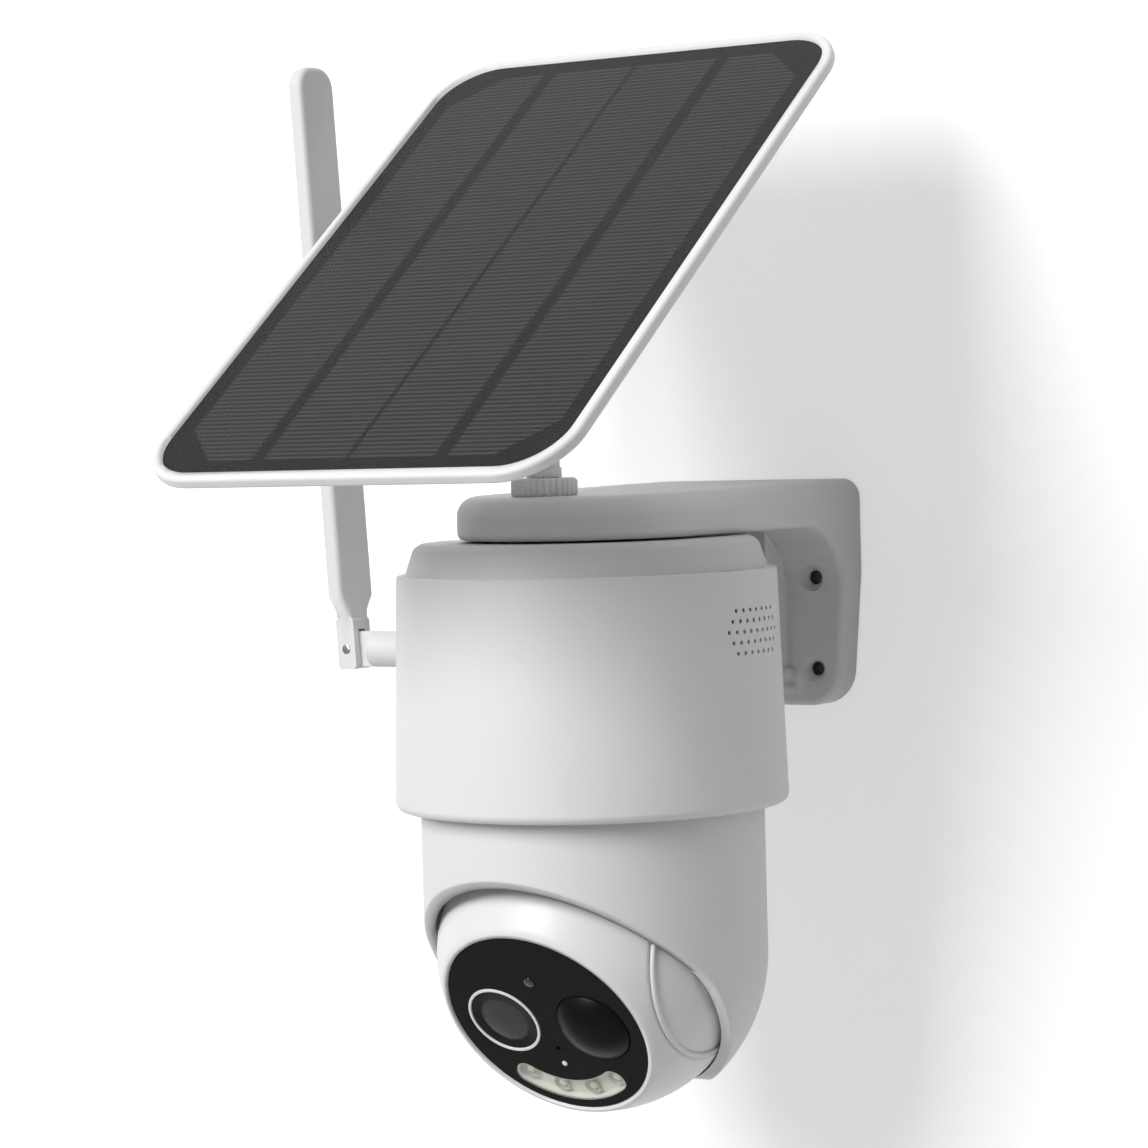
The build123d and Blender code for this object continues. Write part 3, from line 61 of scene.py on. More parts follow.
# Places that the finishes and pieces share, read from the hinges and the solids
RECORD = frame["record"]
HINGE = {joint["name"]: Vector(joint["pos_m"]) for joint in RECORD["behaviour"]["joints"] if "pos_m" in joint}
BODY_OF = {node: body for body, nodes in RECORD["behaviour"]["bodies"].items() for node in nodes}
SLOT_OF = {part["node"]: part["material_slot"] for part in RECORD["subparts"]}
FACE = Matrix.Translation(HINGE["ball_tilt"]) @ Matrix.Rotation(math.radians(90 + TILT_DOWN), 4, "X")
PANEL = Matrix.Translation(HINGE["panel_tilt"]) @ Matrix.Rotation(math.radians(PANEL_SLOPE), 4, "X")


def solids(node, place):
    """The node's separate solids: low and high corner of each one's box in a turned and shifted frame."""
    work = bmesh.new()
    work.from_mesh(frame["nodes"][node].data)
    bmesh.ops.remove_doubles(work, verts=work.verts, dist=WELD)
    local = place.inverted()
    found = []
    waiting = set(work.verts)
    while waiting:
        spread = [waiting.pop()]
        spots = []
        while spread:
            vert = spread.pop()
            spots.append(local @ vert.co)
            for edge in vert.link_edges:
                other = edge.other_vert(vert)
                if other in waiting:
                    waiting.discard(other)
                    spread.append(other)
        found.append([Vector(pick(spot[axis] for spot in spots) for axis in range(3)) for pick in (min, max)])
    work.free()
    return sorted(found, key=lambda box: (round(box[0].x, 6), round(box[0].y, 6)))


def middle(box):
    return (box[0] + box[1]) / 2


LENS = solids("lens_glass", FACE)[0]
DOME = solids("pir_dome", FACE)[0]
EYE = solids("light_sensor", FACE)[0]
LAMP_WINDOW = solids("led_window", FACE)[0]
LAMPS = solids("leds", FACE)
PANEL_SCREWS = solids("panel_screws", PANEL)
PAN = Matrix.Translation(HINGE["head_pan"])
SLEEVE = solids("sleeve", PAN)[0]
SPEAKER = solids("speaker", PAN)[0]
SCREW_HOLES = next(mount["dims"] for mount in RECORD["mounts"] if mount["name"] == "wall_screws")


class Value:
    """A shader socket that can be used in plain arithmetic."""

    def __init__(self, paint, socket):
        self.paint = paint
        self.socket = socket

    def math(self, operation, *terms):
        return self.paint.node("Math", {"operation": operation}, dict(enumerate(terms)))

    def __add__(self, other):
        return self.math("ADD", self, other)

    def __sub__(self, other):
        return self.math("SUBTRACT", self, other)

    def __rsub__(self, other):
        return self.math("SUBTRACT", other, self)

    def __mul__(self, other):
        return self.math("MULTIPLY", self, other)

    def __truediv__(self, other):
        return self.math("DIVIDE", self, other)

    def __mod__(self, other):
        return self.math("FLOORED_MODULO", self, other)

    def __pow__(self, other):
        return self.math("POWER", self, other)

    def __gt__(self, other):
        return self.math("GREATER_THAN", self, other)

    def __lt__(self, other):
        return self.math("LESS_THAN", self, other)

    def __abs__(self):
        return self.math("ABSOLUTE", self)

    __radd__ = __add__
    __rmul__ = __mul__


class Paint:
    """One material's tree. node() makes every node; what it returns takes part in plain arithmetic."""

    def __init__(self, name):
        self.material = bpy.data.materials.new(name)
        self.material.use_nodes = True
        self.tree = self.material.node_tree
        self.tree.nodes.clear()
        self.place = self.node("TexCoord", out="Object")

    def node(self, kind, settings=None, inputs=None, out=0):
        made = self.tree.nodes.new("ShaderNode" + kind)
        for key, value in (settings or {}).items():
            if key == "stops":
                ramp = made.color_ramp.elements
                while len(ramp) < len(value):
                    ramp.new(0.5)
                for element, (at, colour) in zip(ramp, value):
                    element.position = at
                    element.color = (*colour, 1)
            else:
                setattr(made, key, value)
        for key, value in (inputs or {}).items():
            if isinstance(value, Value):
                self.tree.links.new(value.socket, made.inputs[key])
            else:
                made.inputs[key].default_value = value
        return Value(self, made.outputs[out])

    def noise(self, size, detail=2.0, place=None):
        """Noise from 0 to 1 with features of about that size in metres."""
        inputs = {"Vector": place or self.place, "Scale": 1 / size, "Detail": detail}
        return self.node("TexNoise", None, inputs, "Fac")

    def moved(self, frame_matrix):
        """Coordinates in a turned and shifted frame of the object."""
        local = frame_matrix.inverted()
        turn = local.to_euler()
        return self.node("Mapping", {"vector_type": "POINT"}, {
            "Vector": self.place, "Location": local.translation, "Rotation": turn}, "Vector")

    def parts(self, vector):
        split = self.node("SeparateXYZ", None, {0: vector}, "X").socket.node
        return [Value(self, split.outputs[i]) for i in range(3)]

    def mix(self, amount, low, high):
        """Colour between two colours."""
        node = self.tree.nodes.new("ShaderNodeMix")
        node.data_type = "RGBA"
        ends = [s for s in node.inputs if s.type == "RGBA"]
        for socket, colour in zip(ends, (low, high)):
            if isinstance(colour, Value):
                self.tree.links.new(colour.socket, socket)
            else:
                socket.default_value = (*colour, 1)
        if isinstance(amount, Value):
            self.tree.links.new(amount.socket, node.inputs[0])
        else:
            node.inputs[0].default_value = amount
        return Value(self, [s for s in node.outputs if s.type == "RGBA"][0])

    def bump(self, height, depth, strength=1.0):
        """Normal of a surface whose height runs from 0 to 1 over that depth in metres."""
        return self.node("Bump", None, {"Strength": strength, "Distance": depth, "Height": height}, "Normal")

    def surface(self, **sockets):
        """Finish the material with a Principled surface; names use _ for spaces."""
        inputs = {key.replace("_", " "): value for key, value in sockets.items()}
        shader = self.node("BsdfPrincipled", None, inputs, "BSDF")
        self.node_output(shader)
        return self.material

    def node_output(self, shader):
        end = self.tree.nodes.new("ShaderNodeOutputMaterial")
        self.tree.links.new(shader.socket, end.inputs["Surface"])


def grey(value, warm=0.0):
    return (value * (1 + warm), value, value * (1 - warm))


def grille_bore_shade(p):
    """Mask of the speaker grille's drilled holes below the sleeve's surface, where the plastic gets painted
    shade, darkened as if no light reached in.
    """
    below_skin, half_height = 1.65 * MM, 8 * MM
    x, y, z = p.parts(p.moved(PAN))
    inside = (x * x + y * y) ** 0.5 < SLEEVE[1].x - below_skin
    return inside * (abs(z - middle(SPEAKER).z) < half_height) * (x > SPEAKER[0].x)


def screw_bore_shade(p):
    """Mask of the four wall screws' holes below their countersinks, where the plastic gets painted shade,
    darkened as if no light reached in.
    """
    spare = 0.03 * MM
    x, _, z = p.parts(p.place)
    across = abs(x) - SCREW_HOLES["spacing_x_mm"] / 2 * MM
    rise = abs(z) - SCREW_HOLES["spacing_y_mm"] / 2 * MM
    return (across * across + rise * rise) ** 0.5 < SCREW_HOLES["hole_r_mm"] * MM + spare


def moulded(name, shade, warm=0.0, rough=0.5, grain=0.55 * MM, depth=0.012 * MM, flow=0.03, ior=1.47,
            bore_shade=None):
    """Moulded plastic: spark-eroded grain, slow tone drift, a little uneven sheen, and painted shade that
    darkens any holes a given mask marks.
    """
    p = Paint(name)
    drift = p.noise(38 * MM, 3)
    fine = p.noise(grain, 2)
    tone = p.mix(drift, grey(shade * (1 - flow), warm), grey(shade * (1 + flow / 2), warm * 0.7))
    colour = p.mix(fine * 0.12, tone, grey(shade * 0.86, warm))
    # painted shade: the masked holes are darkened almost to black, standing in for the shade inside them
    if bore_shade:
        colour = p.mix(bore_shade(p), colour, grey(shade * 0.06))
    return p.surface(Base_Color=colour, Roughness=rough - 0.05 + drift * 0.06 + fine * 0.05,
                     Normal=p.bump(fine, depth), IOR=ior)


def metal(name, shade, rough, tint=(1, 1, 1), stretch=(1, 1, 14)):
    """Drawn or turned metal with fine brushing."""
    p = Paint(name)
    lines = p.node("Mapping", None, {"Vector": p.place, "Scale": stretch}, "Vector")
    brush = p.noise(0.35 * MM, 3, lines)
    spots = p.noise(2.5 * MM, 3)
    low = tuple(shade * 0.82 * t for t in tint)
    high = tuple(shade * t for t in tint)
    return p.surface(Base_Color=p.mix(brush * 0.6 + spots * 0.4, low, high), Metallic=1.0,
                     Roughness=rough + brush * 0.12, Normal=p.bump(brush, 0.004 * MM))


def black_gloss(name, base, rough, ior):
    """Polished black window plastic: deep base, faint wiping haze, a few specks of dust."""
    p = Paint(name)
    haze = p.noise(9 * MM, 4)
    dust = p.noise(0.5 * MM, 2)
    colour = p.mix(haze, grey(base * 0.7, 0.04), grey(base * 1.3, 0.04))
    return p.surface(Base_Color=colour, Roughness=rough + haze * 0.05 + (dust > 0.74) * 0.08, IOR=ior)


def sensor_dome():
    """Black sensor dome with the fine rings of its moulded lens."""
    p = Paint("sensor_dome_black")
    x, y, _ = p.parts(p.moved(FACE))
    pitch = 1.45 * MM
    across = (x - middle(DOME).x) / pitch
    rise = (y - middle(DOME).y) / pitch
    rings = abs((across * across + rise * rise) ** 0.5 % 1.0 - 0.5)
    haze = p.noise(6 * MM, 3)
    return p.surface(Base_Color=p.mix(haze, grey(0.005), grey(0.009)), Roughness=0.3 + haze * 0.08,
                     Normal=p.bump(rings, 0.012 * MM, 0.2), IOR=1.2)


def lens_coating():
    """Front element: grey coated glass that darkens to a black rim."""
    p = Paint("lens_coated_glass")
    x, y, _ = p.parts(p.moved(FACE))
    radius = (LENS[1].x - LENS[0].x) / 2
    across = (x - middle(LENS).x) / radius
    rise = (y - middle(LENS).y) / radius
    out = (across * across + rise * rise) ** 0.5
    stops = [(0.0, grey(0.034, 0.05)), (0.55, grey(0.037, 0.05)), (0.90, grey(0.034, 0.05)),
             (0.94, grey(0.012)), (1.0, grey(0.006))]
    tone = p.node("ValToRGB", {"stops": stops}, {"Fac": out}, "Color")
    streak = p.noise(3 * MM, 2)
    return p.surface(Base_Color=p.mix(streak * 0.2, tone, (0.034, 0.032, 0.040)),
                     Roughness=0.16 + streak * 0.05, IOR=1.4)


def clear_window():
    """Lamp cover: clear plastic with a slight milky cloud."""
    p = Paint("lamp_cover_clear")
    cloud = p.noise(4 * MM, 2)
    colour = p.mix(cloud, (0.74, 0.77, 0.70), (0.86, 0.87, 0.80))
    return p.surface(Base_Color=colour, Roughness=0.12 + cloud * 0.08, Alpha=0.16 + cloud * 0.10, IOR=1.46)


def reflector():
    """Lamp tray: pale satin plastic, faintly green from the light that comes back through the cover."""
    p = Paint("lamp_tray_satin")
    cloud = p.noise(3 * MM, 3)
    return p.surface(Base_Color=p.mix(cloud, (0.72, 0.75, 0.67), (0.86, 0.88, 0.80)),
                     Roughness=0.35 + cloud * 0.1, Coat_Weight=0.2)


def cup():
    """Lamp cups: satin plastic, a little darker than their tray."""
    p = Paint("lamp_cup_satin")
    cloud = p.noise(1.5 * MM, 2)
    return p.surface(Base_Color=p.mix(cloud, (0.36, 0.37, 0.32), (0.50, 0.51, 0.45)),
                     Roughness=0.25 + cloud * 0.1, Coat_Weight=0.3)


def lamp_dome():
    """Lamp chips: pale phosphor under a clear drop."""
    p = Paint("lamp_phosphor")
    speck = p.noise(0.5 * MM, 3)
    return p.surface(Base_Color=p.mix(speck, (0.66, 0.66, 0.50), (0.86, 0.86, 0.74)),
                     Roughness=0.10 + speck * 0.1, IOR=1.5, Coat_Weight=0.6)


def smoked(name, base):
    """Smoked clear plastic that shows a small crisp highlight."""
    p = Paint(name)
    cloud = p.noise(1.5 * MM, 2)
    return p.surface(Base_Color=p.mix(cloud, grey(base * 0.8), grey(base * 1.2)),
                     Roughness=0.08 + cloud * 0.05, IOR=1.55, Coat_Weight=0.5)


def solar_cell():
    """Dark silicon: slow drift over a fine crystal grain, with collector lines printed across the strips."""
    p = Paint("solar_silicon")
    line_pitch, crystal_size = 1.42 * MM, 2.2 * MM
    _, y, _ = p.parts(p.moved(PANEL))
    drift = p.noise(24 * MM, 3)
    grain = {"Vector": p.place, "Scale": 1 / crystal_size}
    crystal = p.node("TexVoronoi", {"feature": "F1"}, grain, "Distance")
    line = 1.0 - p.node("Clamp", None, {0: abs(y / line_pitch % 1.0 - 0.5) * 5.0 - 0.5})
    base = p.mix(drift, grey(0.020, -0.02), grey(0.026, -0.02))
    base = p.mix(crystal * 0.25, base, grey(0.016, -0.04))
    colour = p.mix(line * 0.8, base, grey(0.080, -0.02))
    return p.surface(Base_Color=colour, Roughness=0.46 + drift * 0.08 + line * 0.05, IOR=1.2)


def film():
    """Clear weather film over the cells, with a faint satin sheen."""
    p = Paint("panel_film")
    cloud = p.noise(40 * MM, 2)
    clear = p.node("BsdfTransparent", None, {"Color": (0.95, 0.95, 0.95, 1)}, "BSDF")
    gloss = p.node("BsdfGlossy", None, {"Color": (0.9, 0.9, 0.92, 1), "Roughness": 0.45}, "BSDF")
    facing = p.node("Fresnel", None, {"IOR": 1.35}, "Fac")
    shader = p.node("MixShader", None, {0: facing * (0.38 + cloud * 0.08), 1: clear, 2: gloss}, "Shader")
    p.node_output(shader)
    return p.material


def circuit():
    """Solder mask with tracks and pads."""
    p = Paint("circuit_green")
    mask = (0.02, 0.16, 0.07)
    pads = {"Vector": p.place, "Scale": 1 / (3.0 * MM)}
    track = p.node("TexVoronoi", {"feature": "DISTANCE_TO_EDGE"}, pads, "Distance") < 0.06
    cloud = p.noise(6 * MM, 2)
    colour = p.mix(cloud, mask, tuple(c * 1.5 for c in mask))
    colour = p.mix(track * 0.8, colour, (0.10, 0.34, 0.15))
    return p.surface(Base_Color=colour, Roughness=0.32 + cloud * 0.1, Normal=p.bump(track, 0.02 * MM))


def soft_rubber(name, shade):
    """Matt rubber with a fine grain."""
    p = Paint(name)
    fine = p.noise(0.4 * MM, 3)
    drift = p.noise(12 * MM, 2)
    return p.surface(Base_Color=p.mix(drift, grey(shade * 0.9), grey(shade * 1.1)),
                     Roughness=0.75 + fine * 0.12, Normal=p.bump(fine, 0.02 * MM))


def battery_sleeve():
    """Shrunk film round the cells."""
    p = Paint("battery_wrap")
    cloud = p.noise(14 * MM, 2)
    return p.surface(Base_Color=p.mix(cloud, (0.02, 0.16, 0.36), (0.03, 0.22, 0.46)),
                     Roughness=0.28 + cloud * 0.1, Coat_Weight=0.3)


FINISH = {
    "body": moulded("body_plastic", 0.78, warm=0.008, rough=0.48, bore_shade=grille_bore_shade),
    # painted shade: the top cap is the body's plastic given a darker tone, standing in for the panel's shadow
    # over it
    "cap": moulded("cap_plastic_painted_shade", 0.69, warm=0.01, rough=0.48),
    "bracket": moulded("bracket_plastic", 0.78, warm=0.012, rough=0.46, bore_shade=screw_bore_shade),
    "hardware": moulded("knob_plastic", 0.80, warm=0.01, rough=0.46),
    "ball": moulded("ball_plastic", 0.82, rough=0.36, grain=0.45 * MM, depth=0.006 * MM),
    "antenna": moulded("antenna_plastic", 0.74, warm=-0.006),
    "bezel": moulded("panel_rim_plastic", 0.82, warm=0.004, rough=0.42),
    "dark": moulded("inner_black_plastic", 0.010, ior=1.25),
    "gear": moulded("gear_acetal", 0.72, warm=0.05, rough=0.4),
    "ring": moulded("lens_ring_white", 0.86, rough=0.3),
    "gloss": black_gloss("face_black", 0.005, rough=0.12, ior=1.2),
    "dome": sensor_dome(),
    "lens": lens_coating(),
    "eye": smoked("light_sensor_smoke", 0.012),
    "lamp_cover": clear_window(),
    "lamp_tray": reflector(),
    "lamp_cup": cup(),
    "lamp": lamp_dome(),
    "cell": solar_cell(),
    "film": film(),
    "laminate": moulded("panel_laminate_black", 0.017, rough=0.45, depth=0.0, ior=1.15),
    "circuit": circuit(),
    "rubber": soft_rubber("seal_rubber", 0.03),
    "flap": soft_rubber("flap_rubber", 0.6),
    "steel": metal("plated_steel", 0.62, rough=0.28),
    "brass": metal("turned_brass", 0.75, rough=0.25, tint=(1.0, 0.78, 0.42)),
    "can": metal("motor_can", 0.55, rough=0.3, stretch=(1, 1, 6)),
    "battery": battery_sleeve(),
}

NODE_FINISH = {
    "body": ["sleeve", "head_shell", "power_button"], "cap": ["top_cap"],
    "bracket": ["wall_bracket"], "hardware": ["lock_nut", "swivel_post", "clamp_knob"],
    "ball": ["ball_front", "ball_rear", "side_cap_left", "side_cap_right"],
    "antenna": ["antenna_base", "antenna_paddle"],
    "bezel": ["panel_frame", "panel_back"],
    "dark": ["lens_barrel", "speaker", "battery_tray"],
    "gear": ["pan_gear", "pan_pinion", "pan_hub", "pan_bush", "tilt_gear", "tilt_pinion"],
    "ring": ["lens_ring", "status_led"],
    "gloss": ["face_window"], "dome": ["pir_dome"], "lens": ["lens_glass"], "eye": ["light_sensor"],
    "lamp_cover": ["led_window"], "lamp": ["leds"],
    "cell": ["solar_cells"], "film": ["panel_glass"], "laminate": ["panel_board"],
    "circuit": ["main_board", "port_board", "face_board", "sensor_board"],
    "rubber": ["cap_seal", "window_seal"], "flap": ["port_cover"],
    "steel": ["body_screws", "hub_screws", "ball_screws", "panel_screws", "tilt_pin_left", "tilt_pin_right",
              "tilt_bolt", "antenna_pin", "pir_sensor", "microphone"],
    "brass": ["threaded_insert", "antenna_nut"], "can": ["pan_motor", "tilt_motor"],
    "battery": ["battery_cells"],
}
FINISH_OF = {node: finish for finish, nodes in NODE_FINISH.items() for node in nodes}

# Small edges that the mould or the tool leaves round, in metres
SOFT_EDGE = {
    "lens_ring": 0.12 * MM, "led_window": 0.3 * MM, "face_window": 0.2 * MM, "power_button": 0.3 * MM,
    "tilt_bolt": 0.3 * MM, "port_cover": 0.25 * MM, "antenna_base": 0.2 * MM, "light_sensor": 0.3 * MM,
    "antenna_nut": 0.5 * MM,
}

for node, obj in frame["nodes"].items():
    obj.data.materials.clear()
    obj.data.materials.append(FINISH[FINISH_OF[node]])


def piece(name, mesh, finish, body, slot, *nodes):
    """A finished piece: its material, the body that it rides on and the solids that it stands for."""
    obj = bpy.data.objects.new(name, mesh)
    bpy.context.collection.objects.link(obj)
    mesh.materials.clear()
    mesh.materials.append(FINISH[finish])
    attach(obj, body)
    if nodes:
        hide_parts(*nodes)
    return obj


def welded(node):
    """A copy of a solid's mesh, and that copy opened for work with its doubled points joined."""
    mesh = frame["nodes"][node].data.copy()
    work = bmesh.new()
    work.from_mesh(mesh)
    bmesh.ops.remove_doubles(work, verts=work.verts, dist=WELD)
    return mesh, work


def closed(work, mesh):
    """Write the work into a mesh and free it."""
    work.to_mesh(mesh)
    work.free()
    return mesh


def dressed(node):
    """A welded copy of a solid with softened edges and even shading, standing for the node."""
    mesh, work = welded(node)
    closed(work, mesh).shade_smooth()
    mesh.set_sharp_from_angle(angle=CREASE)
    obj = piece(node + "_skin", mesh, FINISH_OF[node], BODY_OF[node], SLOT_OF[node], node)
    if node in SOFT_EDGE:
        soft = obj.modifiers.new("soft_edge", "BEVEL")
        soft.width = SOFT_EDGE[node]
        soft.segments = 2
        soft.limit_method = "ANGLE"
        soft.angle_limit = math.radians(45)
    even = obj.modifiers.new("even_shading", "WEIGHTED_NORMAL")
    even.keep_sharp = True


class Net:
    """One Geometry Nodes tree with named sizes. node() makes every node and returns one of its outputs."""

    def __init__(self, name, sizes):
        self.tree = bpy.data.node_groups.new(name, "GeometryNodeTree")
        self.sizes = sizes
        face = self.tree.interface
        face.new_socket("Geometry", in_out="OUTPUT", socket_type="NodeSocketGeometry")
        face.new_socket("Geometry", in_out="INPUT", socket_type="NodeSocketGeometry")
        kinds = {int: "NodeSocketInt", float: "NodeSocketFloat", tuple: "NodeSocketVector"}
        self.keys = {label: face.new_socket(label, in_out="INPUT", socket_type=kinds[type(size)]).identifier
                     for label, size in sizes.items()}
        self.start = self.tree.nodes.new("NodeGroupInput").outputs

    def node(self, kind, settings=None, inputs=None, out=0):
        made = self.tree.nodes.new(kind)
        for key, value in (settings or {}).items():
            setattr(made, key, value)
        for key, value in (inputs or {}).items():
            for one in value if isinstance(value, list) else [value]:
                if isinstance(one, bpy.types.NodeSocket):
                    self.tree.links.new(one, made.inputs[key])
                else:
                    made.inputs[key].default_value = one
        return made.outputs[out]

    def vector(self, x=0.0, y=0.0, z=0.0):
        return self.node("ShaderNodeCombineXYZ", None, {"X": x, "Y": y, "Z": z})

    def cut(self, solid, *tools):
        return self.node("GeometryNodeMeshBoolean", {"operation": "DIFFERENCE"}, {0: solid, 1: list(tools)})

    def moved(self, shape, **inputs):
        return self.node("GeometryNodeTransform", None, {0: shape, **inputs})

    def spread(self, points, shape):
        return self.node("GeometryNodeInstanceOnPoints", None, {"Points": points, "Instance": shape})

    def mesh(self, spots, result, place, finish):
        """Build the result on the given spots, put it in its place on the object and return a plain mesh."""
        turned = self.moved(result, Translation=tuple(place.translation), Rotation=tuple(place.to_euler()))
        real = self.node("GeometryNodeRealizeInstances", None, {0: turned})
        painted = self.node("GeometryNodeSetMaterial", None, {0: real, "Material": FINISH[finish]})
        end = self.tree.nodes.new("NodeGroupOutput")
        self.tree.links.new(painted, end.inputs[0])
        base = bpy.data.meshes.new(self.tree.name)
        base.from_pydata(spots, [], [])
        holder = bpy.data.objects.new(self.tree.name, base)
        bpy.context.collection.objects.link(holder)
        run = holder.modifiers.new("pattern", "NODES")
        run.node_group = self.tree
        for label, size in self.sizes.items():
            run[self.keys[label]] = size
        made = bpy.data.meshes.new_from_object(holder.evaluated_get(bpy.context.evaluated_depsgraph_get()))
        holder.modifiers.remove(run)
        bpy.data.objects.remove(holder)
        made.name = self.tree.name
        return made


def panel_screws():
    """Pan-head screws with a cross recess, seen on the back of the panel."""
    head = PANEL_SCREWS[0]
    radius = (head[1].x - head[0].x) / 2
    rise = 0.9 * MM
    shank_length = head[1].z - head[0].z - rise
    net = Net("panel_screw_heads", {
        "Head radius": radius, "Head rise": rise, "Shank radius": radius * 0.5, "Shank length": shank_length,
        "Recess length": radius * 1.2, "Recess width": radius * 0.28, "Recess depth": rise})
    size = net.start
    cap = net.node("GeometryNodeMeshCone", None, {
        "Vertices": 40, "Radius Top": radius * 0.78, "Radius Bottom": size["Head radius"],
        "Depth": size["Head rise"]})
    bar = net.node("GeometryNodeMeshCube", None, {
        "Size": net.vector(size["Recess length"], size["Recess width"], size["Recess depth"])})
    high = (0.0, 0.0, rise * 0.95)
    head_solid = net.cut(cap, net.moved(bar, Translation=high),
                         net.moved(bar, Translation=high, Rotation=(0, 0, math.pi / 2)))
    shank = net.node("GeometryNodeMeshCylinder", None, {
        "Vertices": 24, "Radius": size["Shank radius"], "Depth": size["Shank length"]})
    shank = net.moved(shank, Translation=(0.0, 0.0, -shank_length / 2))
    whole = net.node("GeometryNodeJoinGeometry", None, {0: [head_solid, shank]})
    result = net.spread(size["Geometry"], net.moved(whole, Rotation=(math.pi, 0, 0)))
    spots = [(middle(box).x, middle(box).y, box[0].z + rise) for box in PANEL_SCREWS]
    mesh = net.mesh(spots, result, PANEL, "steel")
    mesh.set_sharp_from_angle(angle=CREASE)
    piece("panel_screw_heads", mesh, "steel", BODY_OF["panel_screws"], SLOT_OF["panel_screws"],
          "panel_screws")


def panel_sheet(name, side, sink, finish, slot, *nodes):
    """One face of the panel's film as a sheet: side 1 is its top and -1 its underside, sunk by a little."""
    out = PANEL.to_3x3() @ Vector((0, 0, 1))
    mesh, work = welded("panel_glass")
    bmesh.ops.delete(work, geom=[f for f in work.faces if f.normal.dot(out) * side < 0.9], context="FACES")
    if side < 0:
        bmesh.ops.reverse_faces(work, faces=work.faces)
    bmesh.ops.translate(work, verts=work.verts, vec=-out * sink)
    piece(name, closed(work, mesh), finish, BODY_OF["panel_glass"], slot, *nodes)


LAMP_FLOOR = LAMP_WINDOW[0].z + 0.15 * MM


def lamp_cups():
    """Cone reflectors in the lamp tray, one round every lamp."""
    net = Net("lamp_cups", {"Foot radius": 1.25 * MM, "Mouth radius": 2.05 * MM, "Cup height": 0.75 * MM})
    size = net.start
    cup = net.node("GeometryNodeMeshCone", {"fill_type": "NONE"}, {
        "Vertices": 40, "Radius Top": size["Mouth radius"], "Radius Bottom": size["Foot radius"],
        "Depth": size["Cup height"]})
    spots = [(middle(box).x, middle(box).y, LAMP_FLOOR) for box in LAMPS]
    mesh = net.mesh(spots, net.spread(size["Geometry"], cup), FACE, "lamp_cup")
    mesh.shade_smooth()
    piece("lamp_cups", mesh, "lamp_cup", BODY_OF["led_window"], SLOT_OF["led_window"])


def lamp_drops():
    """Clear drops over the lamp chips."""
    net = Net("lamp_drops", {"Drop radius": 1.15 * MM})
    size = net.start
    ball = net.node("GeometryNodeMeshUVSphere", None, {
        "Segments": 28, "Rings": 14, "Radius": size["Drop radius"]})
    drop = net.moved(ball, Scale=(1.0, 1.0, 0.62))
    spots = [(middle(box).x, middle(box).y, LAMP_FLOOR) for box in LAMPS]
    mesh = net.mesh(spots, net.spread(size["Geometry"], drop), FACE, "lamp")
    mesh.shade_smooth()
    piece("lamp_drops", mesh, "lamp", BODY_OF["leds"], SLOT_OF["leds"])


def lamp_tray():
    """Shallow tray under the lamp cover: an arc with round ends and a raised edge."""
    ends = [middle(LAMPS[0]), middle(LAMPS[-1])]
    radius = math.hypot(ends[0].x, ends[0].y)
    half = math.atan2(ends[1].x, -ends[1].y)
    width = ends[0].x - LAMP_WINDOW[0].x
    top = LAMP_WINDOW[1].z - 0.4 * MM
    edge = [(width, top), (width - 0.35 * MM, top), (width - 0.5 * MM, LAMP_FLOOR), (0.0, LAMP_FLOOR)]
    steps, end_steps = 30, 12
    turns = [-half + 2 * half * i / steps for i in range(steps + 1)]
    rim = []
    for side, way in ((1, turns), (-1, turns[::-1])):
        rim += [(turn, 0.0, side) for turn in way]
        rim += [(way[-1], math.pi * k / end_steps, side) for k in range(1, end_steps)]
    work = bmesh.new()
    loops = []
    for inset, height in edge:
        loop = []
        for turn, swing, side in rim:
            out = Vector((math.sin(turn), -math.cos(turn), 0)) * side
            along = Vector((math.cos(turn), math.sin(turn), 0)) * side
            centre = Vector((math.sin(turn), -math.cos(turn), 0)) * radius
            spot = centre + (out * math.cos(swing) + along * math.sin(swing)) * inset
            loop.append(work.verts.new(FACE @ Vector((spot.x, spot.y, height))))
        loops.append(loop)
    count = len(rim)
    for low, high in zip(loops, loops[1:]):
        for i in range(count):
            work.faces.new((low[i], low[(i + 1) % count], high[(i + 1) % count], high[i]))
    bmesh.ops.remove_doubles(work, verts=work.verts, dist=HAIR)
    bmesh.ops.recalc_face_normals(work, faces=work.faces)
    mesh = closed(work, bpy.data.meshes.new("lamp_tray"))
    mesh.shade_smooth()
    mesh.set_sharp_from_angle(angle=math.radians(40))
    piece("lamp_tray", mesh, "lamp_tray", BODY_OF["led_window"], SLOT_OF["led_window"])


def eye_drop():
    """Small domed lens on the light sensor."""
    radius = (EYE[1].x - EYE[0].x) / 2
    rise = 0.4 * MM
    work = bmesh.new()
    bmesh.ops.create_uvsphere(work, u_segments=32, v_segments=16, radius=radius)
    low = [v for v in work.verts if v.co.z < -HAIR]
    bmesh.ops.delete(work, geom=low, context="VERTS")
    squash = Matrix.Diagonal((1, 1, rise / radius, 1))
    work.transform(FACE @ Matrix.Translation((middle(EYE).x, middle(EYE).y, EYE[1].z)) @ squash)
    mesh = closed(work, bpy.data.meshes.new("eye_drop"))
    mesh.shade_smooth()
    piece("eye_drop", mesh, "eye", BODY_OF["light_sensor"], SLOT_OF["light_sensor"])


